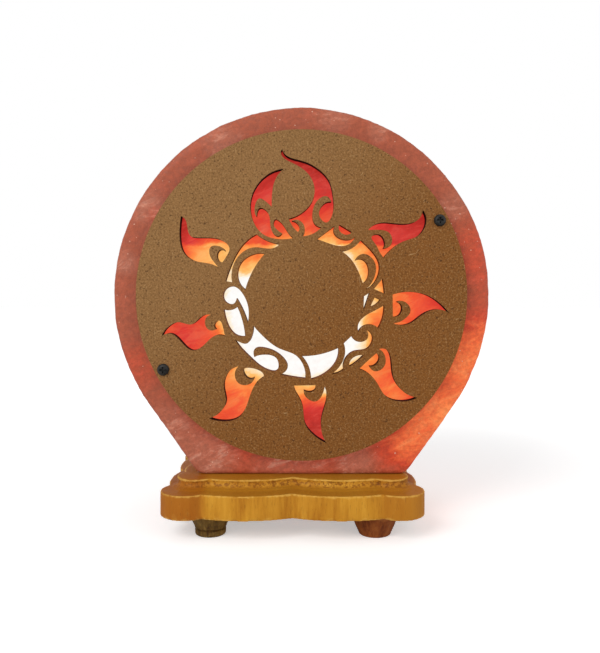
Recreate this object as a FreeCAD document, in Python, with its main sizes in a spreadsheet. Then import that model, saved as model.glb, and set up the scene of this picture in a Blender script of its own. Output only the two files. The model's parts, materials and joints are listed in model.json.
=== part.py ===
import FreeCAD, Part
import math
import os

import Sketcher
from FreeCAD import Placement, Rotation, Vector

# Salt crystal lamp: a disc of rock salt on its flat-cut edge, a laser-cut sun plate on its front, a
# stepped ogee board on four turned feet, and a small lampholder and bulb pushed up the bore from below.
# Millimetres. +Z is up and the front faces -Y. The origin is on the table, under the middle of the salt.

doc = FreeCAD.newDocument("salt_lamp")
sheet = doc.addObject("Spreadsheet::Sheet", "Sizes")


# ---------------------------------------------------------------- driving dimensions

SIZES = [
    ("salt_radius", 105.0, "main curve of the salt disc"),
    ("salt_slice", 5.8, "sawn off the bottom of the disc"),
    ("salt_thickness", 60.0, "front to back"),
    ("salt_flat", 117.0, "width of the flat foot before its ends are eased"),
    ("salt_end_round", 9.0, "easing of the flat's two ends"),
    ("salt_rim_round", 3.5, "easing of the front and back rims"),
    ("bore_diameter", 44.0, "bore up through the board into the salt"),
    ("bore_depth", 112.0, "depth of the bore in the salt"),
    ("plate_diameter", 180.0, "sun plate"),
    ("plate_thickness", 6.0, "sun plate"),
    ("plate_rise", 99.2, "plate centre above the salt's flat foot"),
    ("plate_hole", 3.6, "screw hole through the plate"),
    ("plate_screw_x", 75.0, "upper right screw from the plate centre"),
    ("plate_screw_z", 40.5, "upper right screw from the plate centre"),
    ("plate_head", 6.4, "pan head diameter"),
    ("plate_head_height", 2.1, "pan head height"),
    ("plate_shank", 3.0, "screw shank diameter"),
    ("plate_screw_length", 24.0, "screw length under the head"),
    ("plug_diameter", 6.0, "plastic plug in the salt"),
    ("plug_length", 22.0, "plastic plug in the salt"),
    ("fit_clearance", 0.1, "gap round fixed pieces in their holes"),
    ("seat_gap", 0.3, "gap where curved or sprung faces meet"),
    ("board_width", 141.6, "lower outline of the board"),
    ("board_depth", 108.0, "lower outline of the board"),
    ("board_shift", 4.8, "board centre left of the salt's centre"),
    ("board_lower", 13.0, "thickness below the routed step"),
    ("board_upper", 5.0, "thickness of the raised tier"),
    ("lobe_round", 14.0, "corner lobes of the lower outline"),
    ("lobe_width", 23.0, "corner lobes, along each edge"),
    ("cusp_depth", 4.6, "pointed dip in the middle of each edge"),
    ("front_rise", 4.4, "swell of the long edges between dips"),
    ("side_rise", 2.6, "swell of the short edges between dips"),
    ("step_side", 5.7, "ledge left by the router at the ends"),
    ("step_front", 10.0, "ledge left by the router at front and back"),
    ("lean_side", 1.5, "routed slope of the tier, at the sides"),
    ("lean_front", 3.8, "routed slope of the tier, front and back"),
    ("tier_lobe_round", 11.0, "corner lobes of the tier"),
    ("tier_lobe_width", 18.5, "corner lobes of the tier, along each edge"),
    ("tier_cusp", 6.0, "pointed dip of the tier's edges"),
    ("foot_height", 12.0, "board above the table"),
    ("foot_inset_x", 26.3, "foot centre in from the board's end"),
    ("foot_inset_y", 18.0, "foot centre in from the board's front"),
    ("tenon_diameter", 10.0, "peg of each foot"),
    ("tenon_length", 8.0, "peg of each foot"),
    ("left_foot_top", 22.4, "left front foot, diameter"),
    ("left_foot_bottom", 16.6, "left front foot, diameter"),
    ("right_foot_top", 25.4, "right front foot, diameter"),
    ("right_foot_bottom", 17.6, "right front foot, diameter"),
    ("rear_foot_top", 24.0, "rear feet, diameter"),
    ("rear_foot_bottom", 17.0, "rear feet, diameter"),
    ("foot_ease", 0.8, "eased lower edge of a foot"),
    ("foot_belly", 26.0, "radius of a foot's swelling flank"),
    ("foot_groove", 0.7, "groove turned in the left front foot"),
    ("foot_groove_height", 3.6, "that groove above the table"),
    ("base_screw_x", 38.0, "base screws from the salt's centre"),
    ("base_screw_head", 8.4, "countersunk head diameter"),
    ("base_screw_head_height", 2.6, "countersunk head height"),
    ("base_screw_shank", 4.0, "base screw shank diameter"),
    ("base_screw_length", 34.0, "base screw overall length"),
    ("base_screw_recess", 0.6, "head below the board's underside"),
    ("base_plug_diameter", 7.0, "plastic plug in the salt's foot"),
    ("base_plug_length", 20.0, "plastic plug in the salt's foot"),
    ("recess_wing", 0.9, "width of a cross recess wing"),
    ("recess_depth", 1.3, "depth of a cross recess"),
    ("holder_height", 22.0, "lower end of the lampholder above the table"),
    ("holder_diameter", 30.0, "lampholder barrel"),
    ("holder_wall", 1.6, "lampholder barrel and cap"),
    ("cap_length", 14.0, "lampholder cap"),
    ("barrel_length", 32.0, "lampholder barrel"),
    ("lead_hole", 7.2, "hole for the supply lead in the cap"),
    ("lead_boss", 12.0, "boss round the lead hole"),
    ("insert_length", 9.0, "insulating insert"),
    ("insert_well", 5.4, "well in the insert for the bulb's tip"),
    ("contact_width", 4.0, "sprung centre contact"),
    ("thread_diameter", 13.9, "small screw cap, over the thread"),
    ("thread_pitch", 2.8, "small screw cap"),
    ("thread_depth", 0.7, "small screw cap"),
    ("sheet_wall", 0.45, "sheet brass"),
    ("running_gap", 0.25, "between the bulb's cap and the sleeve"),
    ("terminal_width", 5.0, "terminal block"),
    ("terminal_height", 5.5, "terminal block"),
    ("terminal_offset", 6.0, "terminal block from the axis"),
    ("terminal_screw", 2.6, "terminal screw"),
    ("clip_width", 8.0, "spring leaf"),
    ("clip_thickness", 0.5, "spring leaf"),
    ("clip_foot", 7.0, "flat end of the spring leaf"),
    ("clip_length", 30.0, "spring leaf, top above its lower end"),
    ("clip_lift", 9.0, "lower end of the leaf above the barrel's"),
    ("clip_tip", 3.0, "free end of the leaf out from the barrel"),
    ("rivet_shank", 2.4, "rivet"),
    ("rivet_head", 4.4, "rivet"),
    ("rivet_head_height", 0.8, "rivet"),
    ("bulb_diameter", 27.0, "pear bulb"),
    ("bulb_length", 50.0, "glass above the cap's rim"),
    ("bulb_neck", 11.0, "neck of the glass"),
    ("bulb_tuck", 6.0, "glass held inside the cap"),
    ("bulb_wall", 0.7, "glass"),
    ("cap_height", 16.0, "bulb's threaded cap"),
    ("stem_diameter", 4.0, "glass stem"),
    ("stem_length", 26.0, "glass stem"),
    ("wire_diameter", 0.6, "lead wires in the bulb"),
    ("filament_span", 14.0, "filament"),
    ("filament_rise", 38.0, "filament above the cap's rim"),
]


class Size:
    """A length with both its number, for first drawing a sketch, and the expression that drives it."""

    def __init__(self, text, value):
        self.text = text
        self.value = value

    def join(self, sign, other, number):
        return Size(f"({self.text} {sign} {as_size(other).text})", number)

    def __add__(self, other):
        return self.join("+", other, self.value + as_size(other).value)

    def __sub__(self, other):
        return self.join("-", other, self.value - as_size(other).value)

    def __mul__(self, other):
        return self.join("*", other, self.value * as_size(other).value)

    def __truediv__(self, other):
        return self.join("/", other, self.value / as_size(other).value)

    def __neg__(self):
        return Size(f"(0 - {self.text})", -self.value)


def as_size(thing):
    return thing if isinstance(thing, Size) else Size(repr(thing), thing)


def root(size):
    return Size(f"sqrt({size.text})", math.sqrt(size.value))


class Table:
    """Each named size as an attribute, so that S.board_width reads like the sheet."""


S = Table()
for row, (alias, number, what) in enumerate(SIZES, start=1):
    sheet.set(f"A{row}", alias)
    sheet.set(f"B{row}", str(number))
    sheet.set(f"C{row}", what)
    sheet.setAlias(f"B{row}", alias)
    setattr(S, alias, Size(f"Sizes.{alias}", number))
doc.recompute()


# ---------------------------------------------------------------- drawing helpers

NODES = []


def keep(thing, label):
    """Give a finished piece its name and put it on the list of pieces."""
    thing.Label = label
    NODES.append(thing)
    return thing


def bind(thing, name, size):
    size = as_size(size)
    thing.setExpression(name, size.text)


def place(thing, x=0, y=0, z=0, axis=None, angle=0):
    """Stand a piece at a point worked out from the sheet, turned by a fixed angle."""
    turn = Rotation(Vector(*axis), angle) if axis else Rotation()
    thing.Placement = Placement(Vector(*(as_size(v).value for v in (x, y, z))), turn)
    for letter, size in zip("xyz", (x, y, z)):
        if isinstance(size, Size):
            bind(thing, f"Placement.Base.{letter}", size)
    return thing


def new_body(name):
    return doc.addObject("PartDesign::Body", name)


def new_sketch(body, role, lift=None):
    """A sketch on one of the body's own planes, or lifted off it along the plane's normal."""
    sketch = body.newObject("Sketcher::SketchObject", body.Name + "_sketch")
    plane = next(f for f in body.Origin.OriginFeatures if f.Role == role)
    sketch.AttachmentSupport = (plane, "")
    sketch.MapMode = "FlatFace"
    if lift is not None:
        bind(sketch, "AttachmentOffset.Base.z", lift)
    return sketch


def hold(sketch, geometry, end, axis, size):
    """Tie one coordinate of a sketch point to the sheet."""
    size = as_size(size)
    if size.value == 0:
        other = -2 if axis == "X" else -1
        sketch.addConstraint(Sketcher.Constraint("PointOnObject", geometry, end, other))
        return
    datum = Sketcher.Constraint(f"Distance{axis}", -1, 1, geometry, end, size.value)
    index = sketch.addConstraint(datum)
    bind(sketch, f"Constraints[{index}]", size)


def outline(sketch, points, arcs=None):
    """A closed outline through points; arcs gives some stretches a radius, positive bulging right."""
    arcs = arcs or {}
    spots = [Vector(as_size(x).value, as_size(y).value, 0) for x, y in points]
    ends = []
    for i, start in enumerate(spots):
        stop = spots[(i + 1) % len(spots)]
        if i not in arcs:
            ends.append((sketch.addGeometry(Part.LineSegment(start, stop)), 1, 2))
            continue
        radius = as_size(arcs[i])
        reach = abs(radius.value)
        chord = stop - start
        side = Vector(chord.y, -chord.x, 0).normalize() * math.copysign(1, radius.value)
        drop = math.sqrt(max(reach**2 - (chord.Length / 2) ** 2, 0))
        centre = (start + stop) * 0.5 - side * drop
        forward = radius.value > 0
        turns = [math.atan2(spot.y - centre.y, spot.x - centre.x) for spot in (start, stop)]
        first, last = turns if forward else turns[::-1]
        ring = Part.Circle(centre, Vector(0, 0, 1), reach)
        geometry = sketch.addGeometry(Part.ArcOfCircle(ring, first, last))
        ends.append((geometry, 1, 2) if forward else (geometry, 2, 1))
    for i, (geometry, first, last) in enumerate(ends):
        after, its_first, _ = ends[(i + 1) % len(ends)]
        sketch.addConstraint(Sketcher.Constraint("Coincident", geometry, last, after, its_first))
        hold(sketch, geometry, first, "X", points[i][0])
        hold(sketch, geometry, first, "Y", points[i][1])
        if i in arcs:
            radius = as_size(arcs[i])
            size = radius if radius.value > 0 else -radius
            index = sketch.addConstraint(Sketcher.Constraint("Radius", geometry, size.value))
            bind(sketch, f"Constraints[{index}]", size)
    return sketch


def circle(sketch, x, y, diameter):
    """A circle in a sketch, its centre and size tied to the sheet."""
    x, y, diameter = as_size(x), as_size(y), as_size(diameter)
    ring = Part.Circle(Vector(x.value, y.value, 0), Vector(0, 0, 1), diameter.value / 2)
    geometry = sketch.addGeometry(ring)
    hold(sketch, geometry, 3, "X", x)
    hold(sketch, geometry, 3, "Y", y)
    index = sketch.addConstraint(Sketcher.Constraint("Diameter", geometry, diameter.value))
    bind(sketch, f"Constraints[{index}]", diameter)


def pad(body, sketch, length, symmetric=False):
    feature = body.newObject("PartDesign::Pad", body.Name + "_pad")
    feature.Profile = sketch
    if symmetric:
        feature.SideType = "Symmetric"
    bind(feature, "Length", length)
    return feature


def pocket(body, sketch, depth, reverse=False, symmetric=False):
    feature = body.newObject("PartDesign::Pocket", body.Name + "_pocket")
    feature.Profile = sketch
    feature.Reversed = reverse
    if symmetric:
        feature.SideType = "Symmetric"
    bind(feature, "Length", depth)
    return feature


def revolve(body, points, arcs=None):
    """Turn an outline drawn as (radius, height) about the body's own Z axis."""
    sketch = outline(new_sketch(body, "XZ_Plane"), points, arcs)
    feature = body.newObject("PartDesign::Revolution", body.Name + "_turned")
    feature.Profile = sketch
    feature.ReferenceAxis = (sketch, ["V_Axis"])
    feature.Angle = 360
    return feature


def soften(body, base, radius, wanted):
    """Fillet the edges of the body's last feature that the test picks out."""
    doc.recompute()
    names = [f"Edge{i}" for i, edge in enumerate(base.Shape.Edges, start=1) if wanted(edge)]
    feature = body.newObject("PartDesign::Fillet", body.Name + "_round")
    feature.Base = (base, names)
    bind(feature, "Radius", radius)
    return feature


def group(label, pieces):
    """Identical small pieces that share one name."""
    together = doc.addObject("Part::Compound", label)
    together.Links = pieces
    return keep(together, label)


# ---------------------------------------------------------------- places shared by several pieces

board_thickness = S.board_lower + S.board_upper
salt_foot = S.foot_height + board_thickness
salt_front = -S.salt_thickness / 2
plate_axis = salt_foot + S.plate_rise
board_x = -S.board_shift
plug_core = S.plate_shank + S.fit_clearance * 2
plug_hole = S.plug_diameter + S.fit_clearance * 2
base_plug_core = S.base_screw_shank + S.fit_clearance * 2
base_plug_hole = S.base_plug_diameter + S.fit_clearance * 2
barrel_foot = S.holder_height + S.cap_length
insert_foot = barrel_foot - S.insert_length / 3
sleeve_bore = S.thread_diameter + S.running_gap * 2
sleeve_foot = insert_foot + S.insert_length
bulb_foot = sleeve_foot - S.insert_length / 3
cap_rim = bulb_foot + S.cap_height


# ---------------------------------------------------------------- the salt

def salt_block():
    """A disc cut flat below, bored up the middle, with plug holes in its face and foot."""
    body = new_body("salt")
    half = S.salt_flat / 2
    middle = S.salt_radius - S.salt_slice
    reach = half * half + middle * middle
    share = S.salt_radius * S.salt_radius / reach
    lean = S.salt_radius * root(reach - S.salt_radius * S.salt_radius) / reach
    cheek_x = half * share + middle * lean
    cheek_z = middle - middle * share + half * lean
    points = [(-half, 0), (half, 0), (cheek_x, cheek_z), (-cheek_x, cheek_z)]
    sketch = new_sketch(body, "XZ_Plane")
    spots = [Vector(as_size(x).value, as_size(z).value, 0) for x, z in points]
    for start, stop in ((3, 0), (0, 1), (1, 2)):
        sketch.addGeometry(Part.LineSegment(spots[start], spots[stop]))
    crown = Vector(0, (middle + S.salt_radius).value, 0)
    sketch.addGeometry(Part.Arc(spots[2], crown, spots[3]))
    for line, spot in ((0, 3), (1, 0), (2, 1)):
        hold(sketch, line, 1, "X", points[spot][0])
        hold(sketch, line, 1, "Y", points[spot][1])
    hold(sketch, 2, 2, "X", cheek_x)
    hold(sketch, 2, 2, "Y", cheek_z)
    for first, end, second, start in ((0, 2, 1, 1), (1, 2, 2, 1), (2, 2, 3, 1), (3, 2, 0, 1)):
        sketch.addConstraint(Sketcher.Constraint("Coincident", first, end, second, start))
    hold(sketch, 3, 3, "Y", middle)
    base = pad(body, sketch, S.salt_thickness, symmetric=True)

    flat_reach = half.value + 1
    ends = soften(body, base, S.salt_end_round, lambda edge: (
        abs(edge.BoundBox.YLength - S.salt_thickness.value) < 1e-3
        and edge.BoundBox.ZMax < 1 and abs(edge.BoundBox.XMax) < flat_reach))
    front = S.salt_thickness.value / 2
    soften(body, ends, S.salt_rim_round, lambda edge: (
        edge.BoundBox.YLength < 1e-3 and abs(abs(edge.BoundBox.YMin) - front) < 1e-3))

    bore = new_sketch(body, "XY_Plane")
    circle(bore, 0, 0, S.bore_diameter)
    pocket(body, bore, S.bore_depth, reverse=True)
    foot = new_sketch(body, "XY_Plane")
    for side in (-1, 1):
        circle(foot, S.base_screw_x * side, 0, base_plug_hole)
    pocket(body, foot, S.base_plug_length + S.fit_clearance, reverse=True)
    face = new_sketch(body, "XZ_Plane", S.salt_thickness / 2)
    for side in (-1, 1):
        circle(face, S.plate_screw_x * side, S.plate_rise + S.plate_screw_z * side, plug_hole)
    pocket(body, face, S.plug_length + S.fit_clearance)
    keep(place(body, z=salt_foot), "salt_block")


# ---------------------------------------------------------------- the sun plate

# Each cut-out is a list of stretches. A stretch starts at a corner and runs smoothly through its
# points to the next stretch's corner. Drawn on a 180 mm plate, from its centre, by hand.
DRAWN_DIAMETER = 180.0

CRESCENT = [
    [(-9.5, 68.5), (-19, 65), (-26.8, 54.5), (-27.2, 42.8), (-20.8, 33), (-11.5, 30.3)],
    [(-4.3, 31), (-8.3, 35.4), (-12.2, 40.3), (-14.2, 41.1), (-15.2, 38.8), (-13.8, 36)],
    [(-10.5, 33.5), (-13.4, 32), (-15.9, 34.4), (-17, 38.8), (-18.3, 44.8), (-21.7, 47.3)],
    [(-24.4, 42.7), (-25, 49.5), (-23, 52.4), (-19.5, 50.9)],
    [(-16.2, 48), (-16, 55), (-14.6, 61.8)],
]
DOUBLE_FLAME = [
    [(-10.5, 79.3), (-9.1, 76.6), (0.5, 72.8), (9.3, 68.3), (15, 62), (17.2, 53), (17, 44.5),
     (13.3, 39.4), (9.8, 42.8), (11, 48.3)],
    [(16.2, 50.7), (12.8, 53.7), (8.4, 51), (6, 45.2), (7, 38.9)],
    [(10.8, 36.8), (6, 33.2)],
    [(0.4, 31.9), (1.8, 36), (0.3, 39.4)],
    [(-5.3, 40.3), (-2.3, 38.8), (-1.1, 36.6)],
    [(-1.9, 34.2), (-4.7, 37.2)],
    [(-6.9, 41.5), (1, 45.2), (6.3, 52), (6.5, 60.8), (1, 68.3), (-6.8, 72.6), (-10.4, 75.2),
     (-11.2, 77.6)],
]
RAY_UPPER_LEFT = [
    [(-65.5, 42.8), (-62.7, 40.2), (-61.7, 35)],
    [(-59.6, 31.5), (-51.5, 31.2), (-44.6, 30.2), (-39.1, 25.2), (-40.6, 21.2)],
    [(-42.9, 17.8), (-45.9, 21.4), (-44.8, 24.1)],
    [(-41.5, 23.8), (-45, 26.6), (-49.4, 26), (-49.9, 22), (-47.6, 18)],
    [(-44.9, 14.3), (-49, 16.8), (-57, 18.3), (-63.4, 22.2), (-66.1, 30)],
]
RING_TOP_LEFT = [
    [(-24.5, 33), (-31.2, 28), (-36.8, 19.5)],
    [(-41.3, 7.6)],
    [(-37.7, 7), (-37.4, 15), (-33, 22.4), (-25.5, 25.9), (-16, 25.3)],
    [(-11.9, 27.6), (-18.5, 29.4)],
]
LEAF_TOP_LEFT = [
    [(-20, 22.4), (-27.5, 21.6), (-33.5, 16.4), (-34.5, 8.8)],
    [(-30.5, 3.2), (-27.5, 11.2)],
]
COMMA_LEFT = [
    [(-35.2, -1.7), (-38.2, -5), (-42, -2.8), (-41.3, 3), (-37, 4.6), (-31.6, 0.2), (-28.7, -8.5)],
    [(-29.2, -15), (-31.8, -8)],
]
LEAF_LEFT = [
    [(-42.3, -7.8), (-38.8, -8.3)],
    [(-34.9, -6.3), (-32.2, -13.5)],
    [(-30.6, -22.4), (-36.5, -21), (-40.7, -14.6)],
]
RAY_LEFT = [
    [(-75.9, -22.2), (-72.5, -17.4), (-66.5, -14.8), (-60, -16), (-54.6, -12)],
    [(-49.2, -10.8), (-52.3, -13.6), (-51.4, -17.9)],
    [(-46.4, -18.6), (-47, -15.4), (-44.7, -13.9), (-42.7, -17.2)],
    [(-41.4, -22.5), (-48.3, -22.8), (-53.5, -27.6), (-59, -30.1), (-65, -25.8), (-70, -21.3)],
]
RING_BOTTOM_LEFT = [
    [(-26.3, -16.4), (-20.5, -22.8), (-11.5, -29.3), (-2.8, -33), (1.3, -39)],
    [(2, -45.4), (-5.5, -44.4)],
    [(-11.4, -43.2), (-7.5, -38.6), (-12, -32.3), (-19, -29), (-25, -29)],
    [(-25.6, -33.8), (-19.5, -32.4), (-13.2, -35), (-13.5, -41), (-18.5, -40.7), (-28, -33.7),
     (-32.8, -28.9)],
    [(-36.3, -24), (-33.2, -25.8), (-29.8, -26.4), (-27.3, -23.5)],
]
WEDGE_BOTTOM = [
    [(0, -33.2), (10.2, -32.2)],
    [(20, -28.8), (18.9, -35.8), (13, -42.4)],
    [(5.3, -45.8), (4, -39.2)],
]
RING_BOTTOM_RIGHT = [
    [(23, -26.2)],
    [(27.3, -22.2), (30, -25.2), (34.4, -24.9)],
    [(35.6, -19.2), (38.7, -24), (35.6, -29.2), (28.6, -30.6), (24.4, -33.8)],
    [(22.8, -40.5), (20, -42.2)],
    [(16.3, -43), (21, -38.4), (23.1, -34.3)],
]
LENS = [
    [(26, -38.9), (26.6, -35.6), (29.6, -33.2)],
    [(33.8, -32.7), (30.3, -36)],
]
RAY_LOWER_RIGHT = [
    [(31.2, -40.3), (36, -35.7)],
    [(40.6, -31.7), (42.3, -34.4), (40.4, -37.8)],
    [(37, -38.7), (39.9, -41.4), (44.6, -39.2), (45.3, -33)],
    [(42, -29.3), (46.9, -30.3), (48.9, -36.5), (50, -44.8), (54.5, -51.8)],
    [(63, -55.7), (54.5, -57.8), (45.8, -55), (41, -47.6), (36.6, -42.8)],
]
RAY_BOTTOM = [
    [(-4.1, -49.2)],
    [(7.6, -49), (6.5, -52.2), (3.8, -52.7)],
    [(1.2, -51.9), (3.6, -56.5), (8, -57.7), (11.3, -54)],
    [(12.6, -50), (13.6, -56.5), (11.2, -65.3), (10.7, -72.6)],
    [(13.5, -80.4), (6.3, -75.8), (1.8, -69.5), (0.8, -61.5), (-1.2, -56), (-3.5, -52)],
]
RAY_LOWER_LEFT = [
    [(-34, -38.7), (-40.5, -43.2), (-42.2, -50), (-41.1, -58.5), (-44.8, -64.2)],
    [(-50.3, -67), (-42, -68.6), (-34, -66.4), (-30, -60.5), (-27, -52)],
    [(-20.7, -44.7), (-27, -39.7), (-31.4, -40.5), (-30.4, -44)],
    [(-25.6, -44.8), (-29, -48.7), (-34, -48), (-36.2, -43.2)],
]
RAY_RIGHT = [
    [(49.5, 0.2), (58.5, 1.7), (68, 0), (75.3, -4.6)],
    [(80.6, -10.2), (72.5, -7.9), (66, -10.4), (59.5, -15.1), (53.3, -16.3)],
    [(49.8, -15.1), (56.2, -12.9), (59.2, -8), (56.6, -4)],
    [(51.8, -3.8), (54.7, -7.3), (53, -11)],
    [(49.6, -11.6)],
]
RAY_UPPER_RIGHT = [
    [(36.2, 35.3), (43.3, 39.3), (54.5, 38.6), (62.6, 40.3)],
    [(65.9, 46.2), (67.7, 39), (63.5, 32.3), (55, 29), (48.8, 24.8)],
    [(44.6, 20.2), (42.4, 23.4), (40.2, 27.6), (38.1, 31.6), (41.6, 33), (45.1, 29.4)],
    [(44.5, 25.3), (49.2, 28.9), (47.7, 33.7), (42.2, 35.4)],
]
WEDGE_TOP_RIGHT = [
    [(8.4, 30.4), (15.5, 27.8), (22.5, 26.6)],
    [(29.4, 31.8), (21.8, 30.4), (18, 33.2)],
    [(17.9, 37.4)],
]
CHIP_TOP_RIGHT = [
    [(20.7, 38.2)],
    [(27.3, 34.2), (23, 33), (20.3, 35.7)],
]
RING_TOP_RIGHT = [
    [(32.4, 29.8), (28, 25.8)],
    [(21.8, 23.7), (28, 18), (31.3, 11.8)],
    [(33.3, 6.4), (36.6, 13), (34.2, 18.6)],
    [(29.2, 18.8), (34.6, 22.3), (39.6, 18.2), (39.9, 10.6)],
    [(34.5, 2.8), (41, 9), (42.4, 16.2), (38, 24.2)],
]
TRIANGLE_RIGHT = [[(44.2, 9)], [(39.4, 3.3)], [(45.3, 0.7)]]
SLIVER_RIGHT = [[(37.1, 1.3)], [(34, -0.7)], [(33.6, -8.8)]]
CHIP_RIGHT = [[(39.8, -1.2)], [(42.7, -2.6), (40.4, -5.1)], [(37.4, -6.3)]]
LEAF_RIGHT = [
    [(45, -5.2), (44.3, -12)],
    [(41.7, -18), (36.8, -16), (33.2, -17.2)],
    [(30.9, -20.2), (31.8, -14), (37, -9.9)],
]
CUT_OUTS = [
    CRESCENT, DOUBLE_FLAME, RAY_UPPER_LEFT, RING_TOP_LEFT, LEAF_TOP_LEFT, COMMA_LEFT, LEAF_LEFT,
    RAY_LEFT, RING_BOTTOM_LEFT, WEDGE_BOTTOM, RING_BOTTOM_RIGHT, LENS, RAY_LOWER_RIGHT, RAY_BOTTOM,
    RAY_LOWER_LEFT, RAY_RIGHT, RAY_UPPER_RIGHT, WEDGE_TOP_RIGHT, CHIP_TOP_RIGHT, RING_TOP_RIGHT,
    TRIANGLE_RIGHT, SLIVER_RIGHT, CHIP_RIGHT, LEAF_RIGHT,
]


def cut_out(stretches, scale, depth):
    """One opening as a solid, from its stretches."""
    edges = []
    for i, stretch in enumerate(stretches):
        path = stretch + stretches[(i + 1) % len(stretches)][:1]
        spots = [Vector(x * scale, y * scale, 0) for x, y in path]
        if len(spots) == 2:
            edges.append(Part.makeLine(*spots))
        else:
            curve = Part.BSplineCurve()
            curve.interpolate(spots)
            edges.append(curve.toShape())
    return Part.Face(Part.Wire(edges)).extrude(Vector(0, 0, depth))


def front_plate():
    """The fibreboard disc, less the sun and the two screw holes."""
    disc = doc.addObject("Part::Cylinder", "plate_disc")
    bind(disc, "Radius", S.plate_diameter / 2)
    bind(disc, "Height", S.plate_thickness)
    scale = S.plate_diameter.value / DRAWN_DIAMETER
    depth = S.plate_thickness.value * 3
    sun = doc.addObject("Part::Feature", "plate_sun")
    sun.Shape = Part.Compound([cut_out(stretches, scale, depth) for stretches in CUT_OUTS])
    sun.Placement = Placement(Vector(0, 0, -S.plate_thickness.value), Rotation())
    holes = []
    for side in (-1, 1):
        hole = doc.addObject("Part::Cylinder", "plate_screw_hole")
        bind(hole, "Radius", S.plate_hole / 2)
        bind(hole, "Height", S.plate_thickness)
        place(hole, S.plate_screw_x * side, S.plate_screw_z * side)
        holes.append(hole)
    tools = doc.addObject("Part::Compound", "plate_openings")
    tools.Links = [sun] + holes
    plate = doc.addObject("Part::Cut", "plate")
    plate.Base = disc
    plate.Tool = tools
    keep(place(plate, 0, salt_front, plate_axis, (1, 0, 0), 90), "front_plate")


# ---------------------------------------------------------------- screws, plugs and rivets

def cross_recess(body, top, span, reverse=False):
    """A cross-shaped pocket cut into a head from its outer face."""
    wing = S.recess_wing / 2
    reach = span / 2
    corners = [
        (wing, wing), (wing, reach), (-wing, reach), (-wing, wing), (-reach, wing), (-reach, -wing),
        (-wing, -wing), (-wing, -reach), (wing, -reach), (wing, -wing), (reach, -wing), (reach, wing),
    ]
    sketch = outline(new_sketch(body, "XY_Plane", top), corners)
    pocket(body, sketch, S.recess_depth, reverse)


def plate_screw(side):
    """A black pan-head screw, drawn head up."""
    body = new_body("plate_screw")
    rim, shank = S.plate_head / 2, S.plate_shank / 2
    points = [
        (0, -S.plate_screw_length), (shank, -S.plate_screw_length + S.plate_shank), (shank, 0),
        (rim, 0), (rim, S.plate_head_height / 2), (rim * 0.55, S.plate_head_height),
        (0, S.plate_head_height),
    ]
    revolve(body, points, {4: rim * 0.75})
    cross_recess(body, S.plate_head_height, S.plate_head * 0.55)
    face = salt_front - S.plate_thickness
    return place(body, S.plate_screw_x * side, face, plate_axis + S.plate_screw_z * side, (1, 0, 0), 90)


def plug(name, length, outer, core):
    """A ribbed plastic plug: a tube with a collar groove, mouth at the origin, going up."""
    body = new_body(name)
    points = [
        (core / 2, 0), (outer / 2, 0), (outer / 2, length * 0.85), (outer / 2 * 0.8, length),
        (core / 2, length),
    ]
    revolve(body, points)
    return body


def plate_plug(side):
    body = plug("plate_plug", S.plug_length, S.plug_diameter, plug_core)
    x, z = S.plate_screw_x * side, plate_axis + S.plate_screw_z * side
    return place(body, x, salt_front, z, (1, 0, 0), -90)


def base_screw(side):
    """A countersunk wood screw, drawn head down and point up."""
    body = new_body("base_screw")
    rim, shank = S.base_screw_head / 2, S.base_screw_shank / 2
    points = [
        (0, 0), (rim, 0), (rim, S.base_screw_head_height * 0.2), (shank, S.base_screw_head_height),
        (shank, S.base_screw_length - S.base_screw_shank), (0, S.base_screw_length),
    ]
    revolve(body, points)
    cross_recess(body, None, S.base_screw_head * 0.6, reverse=True)
    return place(body, S.base_screw_x * side, 0, S.foot_height + S.base_screw_recess)


def base_plug(side):
    body = plug("base_plug", S.base_plug_length, S.base_plug_diameter, base_plug_core)
    return place(body, S.base_screw_x * side, 0, salt_foot)


# ---------------------------------------------------------------- the board and its feet

def ogee(body, lift, half_width, half_depth, lobe_round, lobe_width, cusp):
    """The board's wavy outline: round corner lobes, and two swells with a pointed dip on each edge."""
    in_x, in_y = half_width - lobe_round, half_depth - lobe_round
    run = lobe_width - lobe_round
    rise = root(lobe_round * lobe_round - run * run)
    slant = lobe_round * math.sqrt(0.5)
    notch_x, notch_y = in_x - run, in_y + rise
    side_x, side_y = in_x + rise, in_y - run
    dip_x, dip_y = half_width - cusp, half_depth - cusp

    def swell(along, across, bulge):
        chord = along * along + across * across
        return (chord / 4 + bulge * bulge) / (bulge * 2)

    front = swell(notch_x, notch_y - dip_y, S.front_rise)
    side = swell(side_y, side_x - dip_x, S.side_rise)
    quarter = [
        ((0, -dip_y), front), ((notch_x, -notch_y), lobe_round),
        ((in_x + slant, -(in_y + slant)), lobe_round), ((side_x, -side_y), side),
    ]
    back = [
        ((dip_x, 0), side), ((side_x, side_y), lobe_round),
        ((in_x + slant, in_y + slant), lobe_round), ((notch_x, notch_y), front),
    ]
    right = quarter + back
    left = [((-as_size(x) if x else 0, -as_size(y) if y else 0), radius) for (x, y), radius in right]
    points = [spot for spot, _ in right + left]
    arcs = {i: radius for i, (_, radius) in enumerate(right + left)}
    return outline(new_sketch(body, "XY_Plane", lift), points, arcs)


def foot_sites():
    """Name, side, row and diameters of each foot; the groove is only on the left front one."""
    return [
        ("foot_front_left", -1, -1, S.left_foot_top, S.left_foot_bottom, True),
        ("foot_front_right", 1, -1, S.right_foot_top, S.right_foot_bottom, False),
        ("foot_rear_left", -1, 1, S.rear_foot_top, S.rear_foot_bottom, False),
        ("foot_rear_right", 1, 1, S.rear_foot_top, S.rear_foot_bottom, False),
    ]


def foot_place(side, row):
    """A foot's centre, measured from the board's centre."""
    return (S.board_width / 2 - S.foot_inset_x) * side, (S.board_depth / 2 - S.foot_inset_y) * row


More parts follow.
